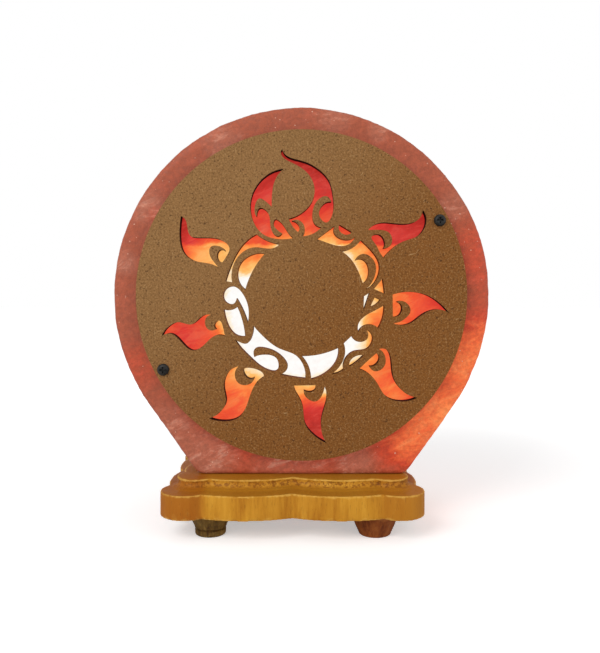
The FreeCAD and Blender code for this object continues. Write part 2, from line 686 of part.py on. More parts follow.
def base_board():
    """One board with a routed step, bored for the lampholder, its screws and the pegs of the feet."""
    body = new_body("board")
    lower = ogee(body, None, S.board_width / 2, S.board_depth / 2, S.lobe_round, S.lobe_width,
                 S.cusp_depth)
    pad(body, lower, S.board_lower)
    tier_x, tier_y = S.board_width / 2 - S.step_side, S.board_depth / 2 - S.step_front
    tier = ogee(body, S.board_lower, tier_x, tier_y, S.tier_lobe_round, S.tier_lobe_width,
                S.tier_cusp)
    crest = ogee(body, board_thickness, tier_x - S.lean_side, tier_y - S.lean_front,
                 S.tier_lobe_round, S.tier_lobe_width, S.tier_cusp)
    rise = body.newObject("PartDesign::AdditiveLoft", "tier")
    rise.Profile = tier
    rise.Sections = [crest]
    rise.Ruled = True

    hole = new_sketch(body, "XY_Plane")
    circle(hole, S.board_shift, 0, S.bore_diameter)
    for side in (-1, 1):
        circle(hole, S.board_shift + S.base_screw_x * side, 0, base_plug_core)
    pocket(body, hole, board_thickness + S.fit_clearance, reverse=True)
    sink = new_sketch(body, "XY_Plane")
    for side in (-1, 1):
        circle(sink, S.board_shift + S.base_screw_x * side, 0, S.base_screw_head + S.fit_clearance * 4)
    pocket(body, sink, S.base_screw_recess + S.base_screw_head_height, reverse=True)
    pegs = new_sketch(body, "XY_Plane")
    for _, side, row, _, _, _ in foot_sites():
        circle(pegs, *foot_place(side, row), S.tenon_diameter + S.fit_clearance * 2)
    pocket(body, pegs, S.tenon_length + S.fit_clearance, reverse=True)
    keep(place(body, board_x, 0, S.foot_height), "base_board")


def foot(name, side, row, top, bottom, grooved):
    """A short turned foot with a peg that goes up into the board."""
    body = new_body(name)
    peg = S.tenon_diameter / 2
    rim = bottom / 2
    points = [(0, 0), (rim - S.foot_ease, 0), (rim, S.foot_ease)]
    if grooved:
        slope = (top / 2 - rim) / (S.foot_height - S.foot_ease)
        flank = rim + slope * (S.foot_groove_height - S.foot_ease)
        half = S.foot_groove
        points += [
            (flank - slope * half, S.foot_groove_height - half),
            (flank - S.foot_groove, S.foot_groove_height),
            (flank + slope * half, S.foot_groove_height + half),
        ]
    belly = {2: S.foot_belly} if not grooved else {5: S.foot_belly}
    points += [
        (top / 2, S.foot_height), (peg, S.foot_height), (peg, S.foot_height + S.tenon_length),
        (0, S.foot_height + S.tenon_length),
    ]
    revolve(body, points, belly)
    x, y = foot_place(side, row)
    keep(place(body, x + board_x, y), name)


# ---------------------------------------------------------------- the lampholder

def ring_thread(low, depth, pitch, start, count):
    """Rounded screw thread as rings: (radius, height) points going up from a low point."""
    points = []
    for turn in range(count):
        foot = start + pitch * turn
        points += [(low, foot + pitch * 0.1), (low + depth, foot + pitch * 0.4),
                   (low + depth, foot + pitch * 0.6), (low, foot + pitch * 0.9)]
    return points


def holder_cap():
    """The lower cap: a cup with a boss round the lead's entry hole."""
    body = new_body("holder_cap")
    rim, wall = S.holder_diameter / 2, S.holder_wall
    lead, boss, floor = S.lead_hole / 2, S.lead_boss / 2, S.holder_wall * 2
    points = [
        (lead, 0), (boss, 0), (boss, wall), (rim - floor, wall), (rim, wall + floor),
        (rim, S.cap_length), (rim - wall, S.cap_length), (rim - wall, wall + floor),
        (rim - floor - wall / 2, floor), (lead, floor),
    ]
    revolve(body, points, {3: floor})
    keep(place(body, z=S.holder_height), "holder_cap")


rivet_height = S.clip_lift + S.clip_foot / 2


def holder_barrel():
    """The outer barrel, open above, with two rivet holes."""
    body = new_body("holder_barrel")
    rim, wall = S.holder_diameter / 2, S.holder_wall
    points = [
        (rim - wall, 0), (rim, 0), (rim, S.barrel_length - wall / 2),
        (rim - wall / 2, S.barrel_length), (rim - wall, S.barrel_length),
    ]
    revolve(body, points)
    holes = new_sketch(body, "YZ_Plane")
    circle(holes, 0, rivet_height, S.rivet_shank + S.fit_clearance * 2)
    pocket(body, holes, S.holder_diameter * 2, symmetric=True)
    keep(place(body, z=barrel_foot), "holder_barrel")


def holder_insert():
    """The insulating insert, across the joint of cap and barrel, with a well for the bulb's tip."""
    body = new_body("holder_insert")
    rim = S.holder_diameter / 2 - S.holder_wall - S.fit_clearance
    well = sleeve_bore / 2
    points = [
        (0, 0), (rim, 0), (rim, S.insert_length), (well, S.insert_length),
        (well, S.insert_length - S.insert_well), (0, S.insert_length - S.insert_well),
    ]
    revolve(body, points)
    keep(place(body, z=insert_foot), "holder_insert")


SLEEVE_RINGS = 6
CAP_RINGS = 4


def holder_thread():
    """The brass sleeve that the bulb screws into."""
    body = new_body("holder_thread")
    low, wall = sleeve_bore / 2, S.sheet_wall
    inner = ring_thread(low, S.thread_depth, S.thread_pitch, as_size(0), SLEEVE_RINGS)
    outer = [(radius + wall, height) for radius, height in inner]
    top = S.thread_pitch * SLEEVE_RINGS
    points = [(low + wall, 0)] + outer + [(low + wall, top), (low, top)] + inner[::-1] + [(low, 0)]
    revolve(body, points)
    keep(place(body, z=sleeve_foot), "holder_thread")


def holder_contact():
    """The sprung contact under the bulb's tip: a strip bent back over itself."""
    body = new_body("holder_contact")
    wall = S.sheet_wall
    rise = S.insert_well - S.insert_length / 3 - S.fit_clearance
    back = -sleeve_bore / 2 + S.seat_gap * 3
    reach = S.contact_width / 2
    points = [
        (back, 0), (reach, 0), (reach, wall), (back + wall * 3, wall),
        (as_size(0), rise - wall), (reach, rise - wall), (reach, rise), (-wall, rise),
        (back, wall * 2),
    ]
    pad(body, outline(new_sketch(body, "XZ_Plane"), points), S.contact_width, symmetric=True)
    keep(place(body, z=sleeve_foot - S.insert_well), "holder_contact")


def box(name, x, y, z, corner_x, corner_y, corner_z):
    block = doc.addObject("Part::Box", name)
    bind(block, "Length", x)
    bind(block, "Width", y)
    bind(block, "Height", z)
    return place(block, corner_x, corner_y, corner_z)


def rod(name, diameter, length, x, y, z, axis=None, angle=0):
    cylinder = doc.addObject("Part::Cylinder", name)
    bind(cylinder, "Radius", diameter / 2)
    bind(cylinder, "Height", length)
    return place(cylinder, x, y, z, axis, angle)


def cut(name, base, tool):
    result = doc.addObject("Part::Cut", name)
    result.Base = base
    result.Tool = tool
    return result


def terminals():
    """Two brass blocks under the insert, each with a slotted clamping screw from the front."""
    blocks, screws = [], []
    wide, tall = S.terminal_width, S.terminal_height
    foot = insert_foot - tall
    middle = foot + tall / 2
    front = -wide / 2
    for side in (-1, 1):
        x = S.terminal_offset * side
        block = box("terminal_block", wide, wide, tall, x - wide / 2, front, foot)
        bore = rod("terminal_bore", S.terminal_screw + S.fit_clearance * 2, wide, x, -front, middle,
                   (1, 0, 0), 90)
        blocks.append(cut("terminal", block, bore))
        screw = rod("terminal_screw", S.terminal_screw, wide + S.terminal_screw / 2, x, -front, middle,
                    (1, 0, 0), 90)
        slot = box("terminal_slot", S.terminal_screw * 2, S.terminal_screw / 2, S.recess_wing / 2,
                   x - S.terminal_screw, front - S.terminal_screw / 2 * 1.5, middle - S.recess_wing / 4)
        screws.append(cut("terminal_clamp", screw, slot))
    group("holder_terminals", blocks)
    group("terminal_screws", screws)


leaf_face = S.holder_diameter / 2 + S.fit_clearance


def holder_clip(label, angle):
    """A spring leaf, riveted to the barrel and bowed out to the wall of the bore."""
    body = new_body(label)
    thick = S.clip_thickness
    grip = S.bore_diameter / 2 - S.seat_gap
    bow = root(grip * grip - S.clip_width * S.clip_width / 4)
    middle = (S.clip_foot + S.clip_length) / 2
    tip = leaf_face + S.clip_tip
    points = [
        (leaf_face, 0), (leaf_face + thick, 0), (leaf_face + thick, S.clip_foot), (bow, middle),
        (tip, S.clip_length), (tip - thick, S.clip_length), (bow - thick, middle),
        (leaf_face, S.clip_foot),
    ]
    pad(body, outline(new_sketch(body, "XZ_Plane"), points), S.clip_width, symmetric=True)
    hole = new_sketch(body, "YZ_Plane")
    circle(hole, 0, S.clip_foot / 2, S.rivet_shank + S.fit_clearance * 2)
    pocket(body, hole, S.bore_diameter * 2, symmetric=True)
    keep(place(body, 0, 0, barrel_foot + S.clip_lift, (0, 0, 1), angle), label)


def clip_rivet(side):
    """A rivet through the leaf and the barrel's wall, headed on both sides."""
    body = new_body("clip_rivet")
    shank, head, tall = S.rivet_shank / 2, S.rivet_head / 2, S.rivet_head_height
    inside = S.holder_diameter / 2 - S.holder_wall
    inner = root(inside * inside - head * head) - S.fit_clearance
    outer = leaf_face + S.clip_thickness
    points = [
        (0, inner - tall), (head * 0.7, inner - tall), (head, inner - tall / 2), (head, inner),
        (shank, inner), (shank, outer), (head, outer), (head, outer + tall / 2),
        (head * 0.7, outer + tall), (0, outer + tall),
    ]
    revolve(body, points)
    return place(body, 0, 0, barrel_foot + rivet_height, (0, 1, 0), 90 * side)


# ---------------------------------------------------------------- the bulb

tip_height = S.sheet_wall * 2
shoulder = S.insert_length / 3 + S.sheet_wall


def bulb_cap_parts():
    """The threaded cap, the black glass under it and the solder tip."""
    body = new_body("bulb_cap")
    wall = S.sheet_wall
    low = S.thread_diameter / 2 - S.thread_depth
    rings = ring_thread(low, S.thread_depth, S.thread_pitch, shoulder, CAP_RINGS)
    lining = [(radius - wall, height) for radius, height in rings]
    points = [(low - wall, shoulder), (low, shoulder)] + rings + [
        (low, S.cap_height), (low - wall, S.cap_height)] + lining[::-1]
    revolve(body, points)
    keep(place(body, z=bulb_foot), "bulb_cap")

    cone = new_body("bulb_cap_insulator")
    neck = low * 0.4
    revolve(cone, [(0, tip_height), (neck, tip_height), (low - wall / 2, shoulder), (0, shoulder)])
    keep(place(cone, z=bulb_foot), "bulb_cap_insulator")

    tip = new_body("bulb_cap_contact")
    revolve(tip, [(0, 0), (neck * 0.6, 0), (neck * 0.9, tip_height), (0, tip_height)])
    keep(place(tip, z=bulb_foot), "bulb_cap_contact")


def bulb_glass():
    """A pear-shaped shell, its neck held in the cap."""
    body = new_body("bulb_glass")
    ball, wall, neck = S.bulb_diameter / 2, S.bulb_wall, S.bulb_neck / 2
    top = S.bulb_length
    middle = top - ball
    shade = ball * 0.4
    flank = root(ball * ball - shade * shade)
    hollow = ball - wall
    shade_in = hollow * 0.4
    flank_in = root(hollow * hollow - shade_in * shade_in)
    throat = ball * 0.2
    points = [
        (neck, -S.bulb_tuck), (neck, throat), (flank, middle - shade), (ball, middle), (0, top),
        (0, top - wall), (hollow, middle), (flank_in, middle - shade_in), (neck - wall, throat),
        (neck - wall, -S.bulb_tuck),
    ]
    revolve(body, points, {2: ball, 3: ball, 5: -hollow, 6: -hollow})
    keep(place(body, z=cap_rim), "bulb_glass")


def bulb_stem():
    """The glass stem with its flare, closing the neck."""
    body = new_body("bulb_stem")
    rim = S.bulb_neck / 2 - S.bulb_wall - S.fit_clearance
    slim = S.stem_diameter / 2
    points = [
        (0, 0), (rim, 0), (rim, S.bulb_wall), (slim, S.bulb_wall * 4), (slim * 0.8, S.stem_length),
        (0, S.stem_length),
    ]
    revolve(body, points)
    keep(place(body, z=cap_rim - S.bulb_tuck), "bulb_stem")


def bulb_wires():
    """Two slanting lead wires and the arched filament hung between their ends."""
    stem_top = (cap_rim - S.bulb_tuck + S.stem_length).value
    hook_height = (cap_rim + S.filament_rise).value
    radius = S.wire_diameter.value / 2
    reach = S.filament_span.value / 2
    wires = []
    for side in (-1, 1):
        start = Vector(side * S.stem_diameter.value / 4, 0, stem_top + radius)
        stop = Vector(side * reach, 0, hook_height)
        wires.append(Part.makeCylinder(radius, (stop - start).Length, start, stop - start))
    leads = doc.addObject("Part::Feature", "bulb_lead_wires")
    leads.Shape = Part.Compound(wires)
    keep(leads, "bulb_lead_wires")

    foot = hook_height + radius * 2
    ends = [Vector(-reach, 0, foot), Vector(0, 0, foot + reach / 3), Vector(reach, 0, foot)]
    arch = Part.Arc(*ends)
    ring = Part.Wire(Part.Circle(ends[0], arch.tangent(arch.FirstParameter)[0], radius).toShape())
    filament = doc.addObject("Part::Feature", "bulb_filament")
    filament.Shape = Part.Wire(arch.toShape()).makePipeShell([ring], True, False)
    keep(filament, "bulb_filament")


# ---------------------------------------------------------------- build, check and write

SIDES = (-1, 1)
salt_block()
front_plate()
group("plate_screws", [plate_screw(side) for side in SIDES])
group("plate_plugs", [plate_plug(side) for side in SIDES])
base_board()
group("base_screws", [base_screw(side) for side in SIDES])
group("base_plugs", [base_plug(side) for side in SIDES])
for site in foot_sites():
    foot(*site)
holder_cap()
holder_barrel()
holder_insert()
holder_thread()
holder_contact()
terminals()
holder_clip("holder_clip_left", 180)
holder_clip("holder_clip_right", 0)
group("clip_rivets", [clip_rivet(side) for side in SIDES])
bulb_cap_parts()
bulb_glass()
bulb_stem()
bulb_wires()
doc.recompute()

failed = [thing.Name for thing in doc.Objects if {"Invalid", "Error"} & set(thing.State)]
if failed:
    raise RuntimeError("not computed: " + ", ".join(failed))
for node in NODES:
    if node.Shape.isNull() or not node.Shape.isValid() or not node.Shape.Solids:
        raise RuntimeError(node.Label + " has no sound solid")

os.makedirs("parts", exist_ok=True)
for node in NODES:
    node.Shape.exportStep(f"parts/{node.Label}.step")
    box_of = node.Shape.BoundBox
    print(f"{node.Label:20s} {len(node.Shape.Solids)} solid(s) {node.Shape.Volume / 1000:9.3f} cm3 "
          f"x {box_of.XMin:7.2f}..{box_of.XMax:7.2f} y {box_of.YMin:7.2f}..{box_of.YMax:7.2f} "
          f"z {box_of.ZMin:7.2f}..{box_of.ZMax:7.2f}")
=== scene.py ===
# %% [markdown]
# # A salt crystal lamp
# A thick disc of pink rock salt stands on a stepped, wavy wooden board with four turned feet. A
# fibreboard disc with a sun cut out of it is screwed to the salt's face, and a small bulb in a bore
# up the middle of the salt shines through the cuts. The construction comes from the frame, in
# metres, and this lesson gives each surface its finish.

# %% Load the frame
import json
import math

import bpy
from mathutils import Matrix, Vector


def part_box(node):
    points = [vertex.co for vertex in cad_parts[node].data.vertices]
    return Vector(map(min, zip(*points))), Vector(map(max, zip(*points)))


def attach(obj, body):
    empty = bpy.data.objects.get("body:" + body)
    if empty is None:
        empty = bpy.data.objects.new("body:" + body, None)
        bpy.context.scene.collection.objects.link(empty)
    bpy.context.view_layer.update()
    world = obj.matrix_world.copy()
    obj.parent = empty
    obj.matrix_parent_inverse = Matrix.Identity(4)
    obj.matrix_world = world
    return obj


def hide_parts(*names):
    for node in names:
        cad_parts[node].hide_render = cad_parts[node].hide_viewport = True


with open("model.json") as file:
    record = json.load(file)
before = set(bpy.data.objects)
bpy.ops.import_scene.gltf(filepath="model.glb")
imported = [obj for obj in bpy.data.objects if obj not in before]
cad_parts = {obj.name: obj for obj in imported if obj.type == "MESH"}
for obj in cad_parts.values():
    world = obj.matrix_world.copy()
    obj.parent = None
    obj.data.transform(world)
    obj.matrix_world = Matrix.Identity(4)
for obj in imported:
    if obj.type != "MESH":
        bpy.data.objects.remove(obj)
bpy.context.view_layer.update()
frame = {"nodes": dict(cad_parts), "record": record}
MM = 0.001

salt_low, salt_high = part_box("salt_block")
plate_low, plate_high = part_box("front_plate")
board_low, board_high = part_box("base_board")
bulb_low, bulb_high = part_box("bulb_glass")
plate_radius = (plate_high[0] - plate_low[0]) / 2
plate_centre = Vector((0, plate_low[1], (plate_low[2] + plate_high[2]) / 2))
print("salt from", list(salt_low), "to", list(salt_high))

# %% [markdown]
# ## Working in edit mode from code
# An operator acts on whatever is selected, and the frame arrives with its pieces selected. So every
# step first selects one object alone. Points are then picked by a test on their place, which keeps
# working when a size changes, where a list of point numbers would not.

# %% Helpers for selecting and shaping
MERGE_DISTANCE = 0.002 * MM


def take(thing):
    """Select one object alone and make it the active one."""
    bpy.ops.object.select_all(action="DESELECT")
    thing.select_set(True)
    bpy.context.view_layer.objects.active = thing
    return thing


def copy_of(node, name):
    """A separate, merged copy of a node's mesh, to be finished by hand."""
    source = frame["nodes"][node]
    mesh = source.data.copy()
    mesh.materials.clear()
    thing = bpy.data.objects.new(name, mesh)
    bpy.context.scene.collection.objects.link(thing)
    take(thing)
    bpy.ops.object.mode_set(mode="EDIT")
    bpy.ops.mesh.select_all(action="SELECT")
    bpy.ops.mesh.remove_doubles(threshold=MERGE_DISTANCE)
    bpy.ops.mesh.customdata_custom_splitnormals_clear()
    bpy.ops.object.mode_set(mode="OBJECT")
    return thing


def apply_all(thing):
    """Apply every modifier in turn, so that the mesh itself holds the shape."""
    take(thing)
    for modifier in list(thing.modifiers):
        bpy.ops.object.modifier_apply(modifier=modifier.name)
    return thing


def even_faces(thing, spacing):
    """Rebuild the surface in small faces of about one size."""
    remesh = thing.modifiers.new("even_faces", "REMESH")
    remesh.mode = "VOXEL"
    remesh.voxel_size = spacing


def push_in(thing, name, kind, size, depth, where):
    """Push the points of a group inwards by up to a depth, as far as a noise texture says."""
    texture = bpy.data.textures.new(name, kind)
    texture.noise_scale = size
    push = thing.modifiers.new(name, "DISPLACE")
    push.texture = texture
    push.texture_coords = "LOCAL"
    push.vertex_group = where
    push.mid_level = 1
    push.strength = depth


def shade_smooth(thing):
    for face in thing.data.polygons:
        face.use_smooth = True


def stand_in(thing, node):
    """Let a finished piece ride on the root body in place of a node, which is hidden."""
    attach(thing, "root")
    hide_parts(node)
    print(thing.name, "has", len(thing.data.polygons), "faces")


# %% [markdown]
# ## The salt
# Rock salt is sawn into a disc and then brushed and washed, which leaves soft hollows, a grainy skin
# and a rim with small chips. A bevelled cylinder looks like soap. Sculpting would give the best
# single block, but can't be repeated from code. So the solid is remeshed into small even faces, and
# noise textures will push those faces inwards.

# %% Remesh the block
GRAIN_SPACING = 1.3 * MM

salt = copy_of("salt_block", "salt")
even_faces(salt, GRAIN_SPACING)
apply_all(salt)
print("remeshed to", len(salt.data.vertices), "points")

# %% [markdown]
# A vertex group says how far each point may be pushed. It is 0 on the sawn foot, which has to sit
# flat on the board, and 1 a few millimetres above it. A second group holds the rims of both faces,
# where the chips are.

# %% Weight the points
FOOT_KEPT_FLAT = 3 * MM
CHIP_REACH = 4 * MM

salt_half = (salt_high[1] - salt_low[1]) / 2
salt_radius = (salt_high[0] - salt_low[0]) / 2
salt_middle = salt_high[2] - salt_radius
free = salt.vertex_groups.new(name="free")
rim = salt.vertex_groups.new(name="rim")
for point in salt.data.vertices:
    above = (point.co.z - salt_low[2]) / FOOT_KEPT_FLAT
    loose = min(max(above, 0), 1)
    free.add([point.index], loose, "REPLACE")
    out = math.hypot(point.co.x, point.co.z - salt_middle)
    to_face = salt_half - abs(point.co.y)
    to_side = salt_radius - out
    corner = max(to_face, to_side)
    rim.add([point.index], loose * max(0, 1 - corner / CHIP_REACH), "REPLACE")
print("weighted", len(salt.data.vertices), "points over a radius of", round(salt_radius, 4))

# %% [markdown]
# Three Displace modifiers follow each other: broad hollows, chips along the rims, and the brushed
# grain. Pushing only inwards keeps the block inside its real size and clear of the plate.

# %% Push in hollows, chips and grain
HOLLOWS = [
    # name, texture, size of the pattern, depth, group
    ("sawn_hollows", "CLOUDS", 34 * MM, 1.05 * MM, "free"),
    ("rim_chips", "VORONOI", 8 * MM, 0.9 * MM, "rim"),
    ("brushed_grain", "CLOUDS", 3.4 * MM, 0.4 * MM, "free"),
]
for hollow in HOLLOWS:
    push_in(salt, *hollow)
apply_all(salt)
shade_smooth(salt)
stand_in(salt, "salt_block")

# %% [markdown]
# ## The board
# The board is one piece of wood with a step routed round it and a wavy outline of lobes and cusps,
# then sanded and lacquered, so no edge on it is sharp. A bevel trips over the sharp cusps, where
# two rounded walls meet. Remeshing and smoothing rounds every edge by about the same amount, as
# sandpaper does, and leaves enough faces for the small dents of handwork.

# %% Remesh and sand the board
BOARD_SPACING = 0.8 * MM
SANDED_PASSES = 2
SANDED_SHARE = 0.5

board = copy_of("base_board", "board")
even_faces(board, BOARD_SPACING)
sanding = board.modifiers.new("sanding", "SMOOTH")
sanding.factor = SANDED_SHARE
sanding.iterations = SANDED_PASSES
apply_all(board)
print("board has", len(board.data.vertices), "points")

# %% [markdown]
# The router leaves a shallow hollow along the slope between the ledge and the top, with a thin lip
# above and below it, and its cutter marks are never sanded out. A vertex group marks that slope: the
# points between the two levels, apart from the wall of the bore. One Displace with a pattern larger
# than the board sinks the slope, and a second one roughens it. The rest of the board only gets the
# small dents of handwork.

# %% Rout the slope
LEDGE = board_low[2] + 13 * MM
SLOPE_MARGIN = 0.7 * MM
ROUTED_HOLLOW = 0.75 * MM
CUTTER_MARKS = 0.85 * MM
HAND_DENTS = 0.16 * MM
BORE_KEPT = 26 * MM

slope = board.vertex_groups.new(name="slope")
slope_low = LEDGE + SLOPE_MARGIN
slope_height = board_high[2] - SLOPE_MARGIN - slope_low
for point in board.data.vertices:
    part = (point.co.z - slope_low) / slope_height
    in_bore = math.hypot(point.co.x, point.co.y) < BORE_KEPT
    if 0 < part < 1 and not in_bore:
        slope.add([point.index], math.sin(math.pi * part) ** 0.5, "REPLACE")
push_in(board, "routed_hollow", "CLOUDS", 400 * MM, ROUTED_HOLLOW * 2, "slope")
push_in(board, "cutter_marks", "CLOUDS", 1.9 * MM, CUTTER_MARKS, "slope")
push_in(board, "hand_dents", "CLOUDS", 7 * MM, HAND_DENTS, "")
apply_all(board)
shade_smooth(board)
stand_in(board, "base_board")

# %% [markdown]
# ## The feet
# Each foot is turned on a lathe, so its shape is one outline carried round an axis. The outline is
# drawn as a chain of points by extruding a single vertex, and Spin carries it round.

# %% The lathe
SPIN_STEPS = 64
SEAM_DISTANCE = 0.005 * MM
SHARP_ANGLE = math.radians(35)


def turned(name, centre, outline):
    """Spin a chain of (radius, height) points round a vertical axis and close it cleanly."""
    bpy.ops.mesh.primitive_plane_add(size=MM)
    thing = bpy.context.active_object
    thing.name = name
    take(thing)
    bpy.ops.object.mode_set(mode="EDIT")
    bpy.ops.mesh.select_all(action="SELECT")
    bpy.ops.mesh.merge(type="CENTER")
    radius, height = outline[0]
    bpy.ops.transform.translate(value=(centre.x + radius, centre.y, height))
    for (r0, h0), (r1, h1) in zip(outline, outline[1:]):
        step = (r1 - r0, 0, h1 - h0)
        bpy.ops.mesh.extrude_region_move(TRANSFORM_OT_translate={"value": step})
    bpy.ops.mesh.select_all(action="SELECT")
    bpy.ops.mesh.spin(steps=SPIN_STEPS, angle=math.tau, center=centre, axis=(0, 0, 1))
    bpy.ops.mesh.select_all(action="SELECT")
    bpy.ops.mesh.remove_doubles(threshold=SEAM_DISTANCE)
    bpy.ops.mesh.normals_make_consistent(inside=False)
    bpy.ops.object.mode_set(mode="OBJECT")
    bpy.ops.object.shade_smooth_by_angle(angle=SHARP_ANGLE)
    return thing


# %% [markdown]
# One formula draws every foot: a rounded edge, a flank that swells a little as it widens, and a flat
# top under the board. The left front foot has a groove cut round it, and its end is a little smaller
# than the others.

# %% The outline of a foot
FOOT_ROUND = 1.1 * MM
ROUND_STEPS = 4
FLANK_STEPS = 8
FLANK_SWELL = 0.45 * MM
GROOVE = 0.7 * MM
GROOVE_HEIGHT = 3.6 * MM
GROOVE_LOWER_LIP, GROOVE_UPPER_LIP = 0.1 * MM, 0.3 * MM


def foot_outline(low, high, top, end, grooved):
    """From the middle of the sole, round its edge, up the swelling flank and over the top."""
    points = [(0, low), (end - FOOT_ROUND, low)]
    for step in range(1, ROUND_STEPS + 1):
        turn = math.radians(90 * step / ROUND_STEPS)
        points.append((end - FOOT_ROUND * (1 - math.sin(turn)), low + FOOT_ROUND * (1 - math.cos(turn))))
    foot = low + FOOT_ROUND
    if grooved:
        points += [(end + GROOVE_LOWER_LIP, GROOVE_HEIGHT - GROOVE), (end - GROOVE, GROOVE_HEIGHT),
                   (end + GROOVE_UPPER_LIP, GROOVE_HEIGHT + GROOVE)]
        foot = GROOVE_HEIGHT + GROOVE
    for step in range(1, FLANK_STEPS + 1):
        share = step / FLANK_STEPS
        swell = math.sin(math.pi * share) * FLANK_SWELL
        points.append((end + (top - end) * share + swell, foot + (high - foot) * share))
    return points + [(0, high)]


# %% [markdown]
# Each foot takes its place and the size of its top from the solid that it stands for, so it still
# meets the board when that solid changes.

# %% Turn the feet
FEET = [
    # node, radius at the end, grooved
    ("foot_front_left", 8.3 * MM, True),
    ("foot_front_right", 8.8 * MM, False),
    ("foot_rear_left", 8.5 * MM, False),
    ("foot_rear_right", 8.5 * MM, False),
]
feet = {}
for node, end, grooved in FEET:
    low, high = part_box(node)
    centre = Vector(((low[0] + high[0]) / 2, (low[1] + high[1]) / 2, 0))
    shape = foot_outline(low[2], board_low[2], (high[0] - low[0]) / 2, end, grooved)
    feet[node] = turned(node.replace("foot", "turned_foot"), centre, shape)
    stand_in(feet[node], node)

# %% [markdown]
# ## Shader nodes in a few words
# A material here is a small network. These helpers add a node, set it up and wire its inputs in one
# call, so that a recipe reads from the coordinates down to the surface. Colours are written as they
# look on screen, from 0 to 255, and turned into the linear values that light adds up in.

# %% Colours and node graphs
def seen(red, green, blue):
    """A colour as it looks on screen, as linear red, green, blue and alpha."""
    linear = []
    for part in (red, green, blue):
        part /= 255
        linear.append(part / 12.92 if part <= 0.04045 else ((part + 0.055) / 1.055) ** 2.4)
    return (*linear, 1)


class Graph:
    """A node tree with short ways to add to it."""

    def __init__(self, tree):
        self.tree = tree

    def add(self, kind, wires=None, **settings):
        node = self.tree.nodes.new("ShaderNode" + kind)
        for name, value in settings.items():
            setattr(node, name, value)
        for socket, value in (wires or {}).items():
            if isinstance(value, bpy.types.NodeSocket):
                self.tree.links.new(value, node.inputs[socket])
            else:
                node.inputs[socket].default_value = value
        return node

    def math(self, operation, *values):
        return self.add("Math", dict(enumerate(values)), operation=operation).outputs[0]

    def scale(self, value, by):
        return self.math("MULTIPLY", value, by)

    def length(self, first, second):
        """The length of the way that two coordinates give in their plane."""
        squares = self.math("MULTIPLY_ADD", first, first, self.math("MULTIPLY", second, second))
        return self.math("SQRT", squares)

    def blend(self, factor, first, second):
        return self.add("Mix", {0: factor, 6: first, 7: second}, data_type="RGBA").outputs[2]

    def span(self, value, low, high, to_low=0, to_high=1, smooth=True):
        """Map a value from one span to another, held at both ends."""
        kind = "SMOOTHSTEP" if smooth else "LINEAR"
        wires = {"Value": value, "From Min": low, "From Max": high, "To Min": to_low, "To Max": to_high}
        return self.add("MapRange", wires, interpolation_type=kind).outputs[0]

    def ramp(self, value, stops):
        """Colours along a value: a list of (place, colour)."""
        node = self.add("ValToRGB", {0: value})
        bar = node.color_ramp
        while len(bar.elements) < len(stops):
            bar.elements.new(1)
        for element, (spot, colour) in zip(bar.elements, stops):
            element.position = spot
            element.color = colour
        return node.outputs[0]

    def noise(self, where, size, detail=3, roughness=0.5, distortion=0):
        """Noise whose lumps are about this size, in metres."""
        wires = {"Vector": where, "Scale": 1 / size, "Detail": detail, "Roughness": roughness,
                 "Distortion": distortion}
        return self.add("TexNoise", wires).outputs[0]

    def stretched(self, where, scale, turn=(0, 0, 0)):
        """Coordinates turned, then scaled, so that a pattern gets a direction."""
        turned_to = self.add("Mapping", {"Vector": where, "Rotation": turn}).outputs[0]
        return self.add("Mapping", {"Vector": turned_to, "Scale": scale}).outputs[0]


# %% [markdown]
# Every material starts with its Principled BSDF and object coordinates, which are real places on the
# lamp in metres, so that a pattern keeps its size. A pattern that several materials use goes into a
# node group, with named inputs and outputs.

# %% Materials and node groups
def surface(name):
    """A new material, its graph, its Principled BSDF and its object coordinates."""
    material = bpy.data.materials.new(name)
    material.use_nodes = True
    graph = Graph(material.node_tree)
    shader = material.node_tree.nodes["Principled BSDF"]
    where = graph.add("TexCoord").outputs["Object"]
    return material, graph, shader, where


def wire(graph, shader, **sockets):
    """Set or link named inputs of the shader; an underscore stands for a space."""
    for name, value in sockets.items():
        socket = shader.inputs[name.replace("_", " ")]
        if isinstance(value, bpy.types.NodeSocket):
            graph.tree.links.new(value, socket)
        else:
            socket.default_value = value


def bump(graph, height, distance, strength):
    """The normal that a height gives: how deep it is in metres, and how much of it shows."""
    wires = {"Height": height, "Distance": distance, "Strength": strength}
    return graph.add("Bump", wires).outputs[0]


def group_node(graph, tree, wires):
    """Place a group in a material and wire its inputs; returns its outputs."""
    node = graph.add("Group", node_tree=tree)
    wire(graph, node, **{name.replace(" ", "_"): value for name, value in wires.items()})
    return node.outputs


def new_group(name, inputs, outputs):
    """A shader node group with named sockets; returns its tree, graph, inputs and output node."""
    tree = bpy.data.node_groups.new(name, "ShaderNodeTree")
    for label, kind, value in inputs:
        socket = tree.interface.new_socket(name=label, in_out="INPUT", socket_type=kind)
        if value is not None:
            socket.default_value = value
    for label, kind in outputs:
        tree.interface.new_socket(name=label, in_out="OUTPUT", socket_type=kind)
    graph = Graph(tree)
    start = tree.nodes.new("NodeGroupInput")
    end = tree.nodes.new("NodeGroupOutput")
    return tree, graph, start.outputs, end.inputs


# %% [markdown]
# ## Wood figure
# The board and the feet are wood, so they share one group. It makes streaks that run one way, with
# darker growth bands and short pores, and the height of the grain. Each material places it with its
# own size and colours. The streaks change quickly across the grain and slowly along it, which is
# what stretched coordinates give.

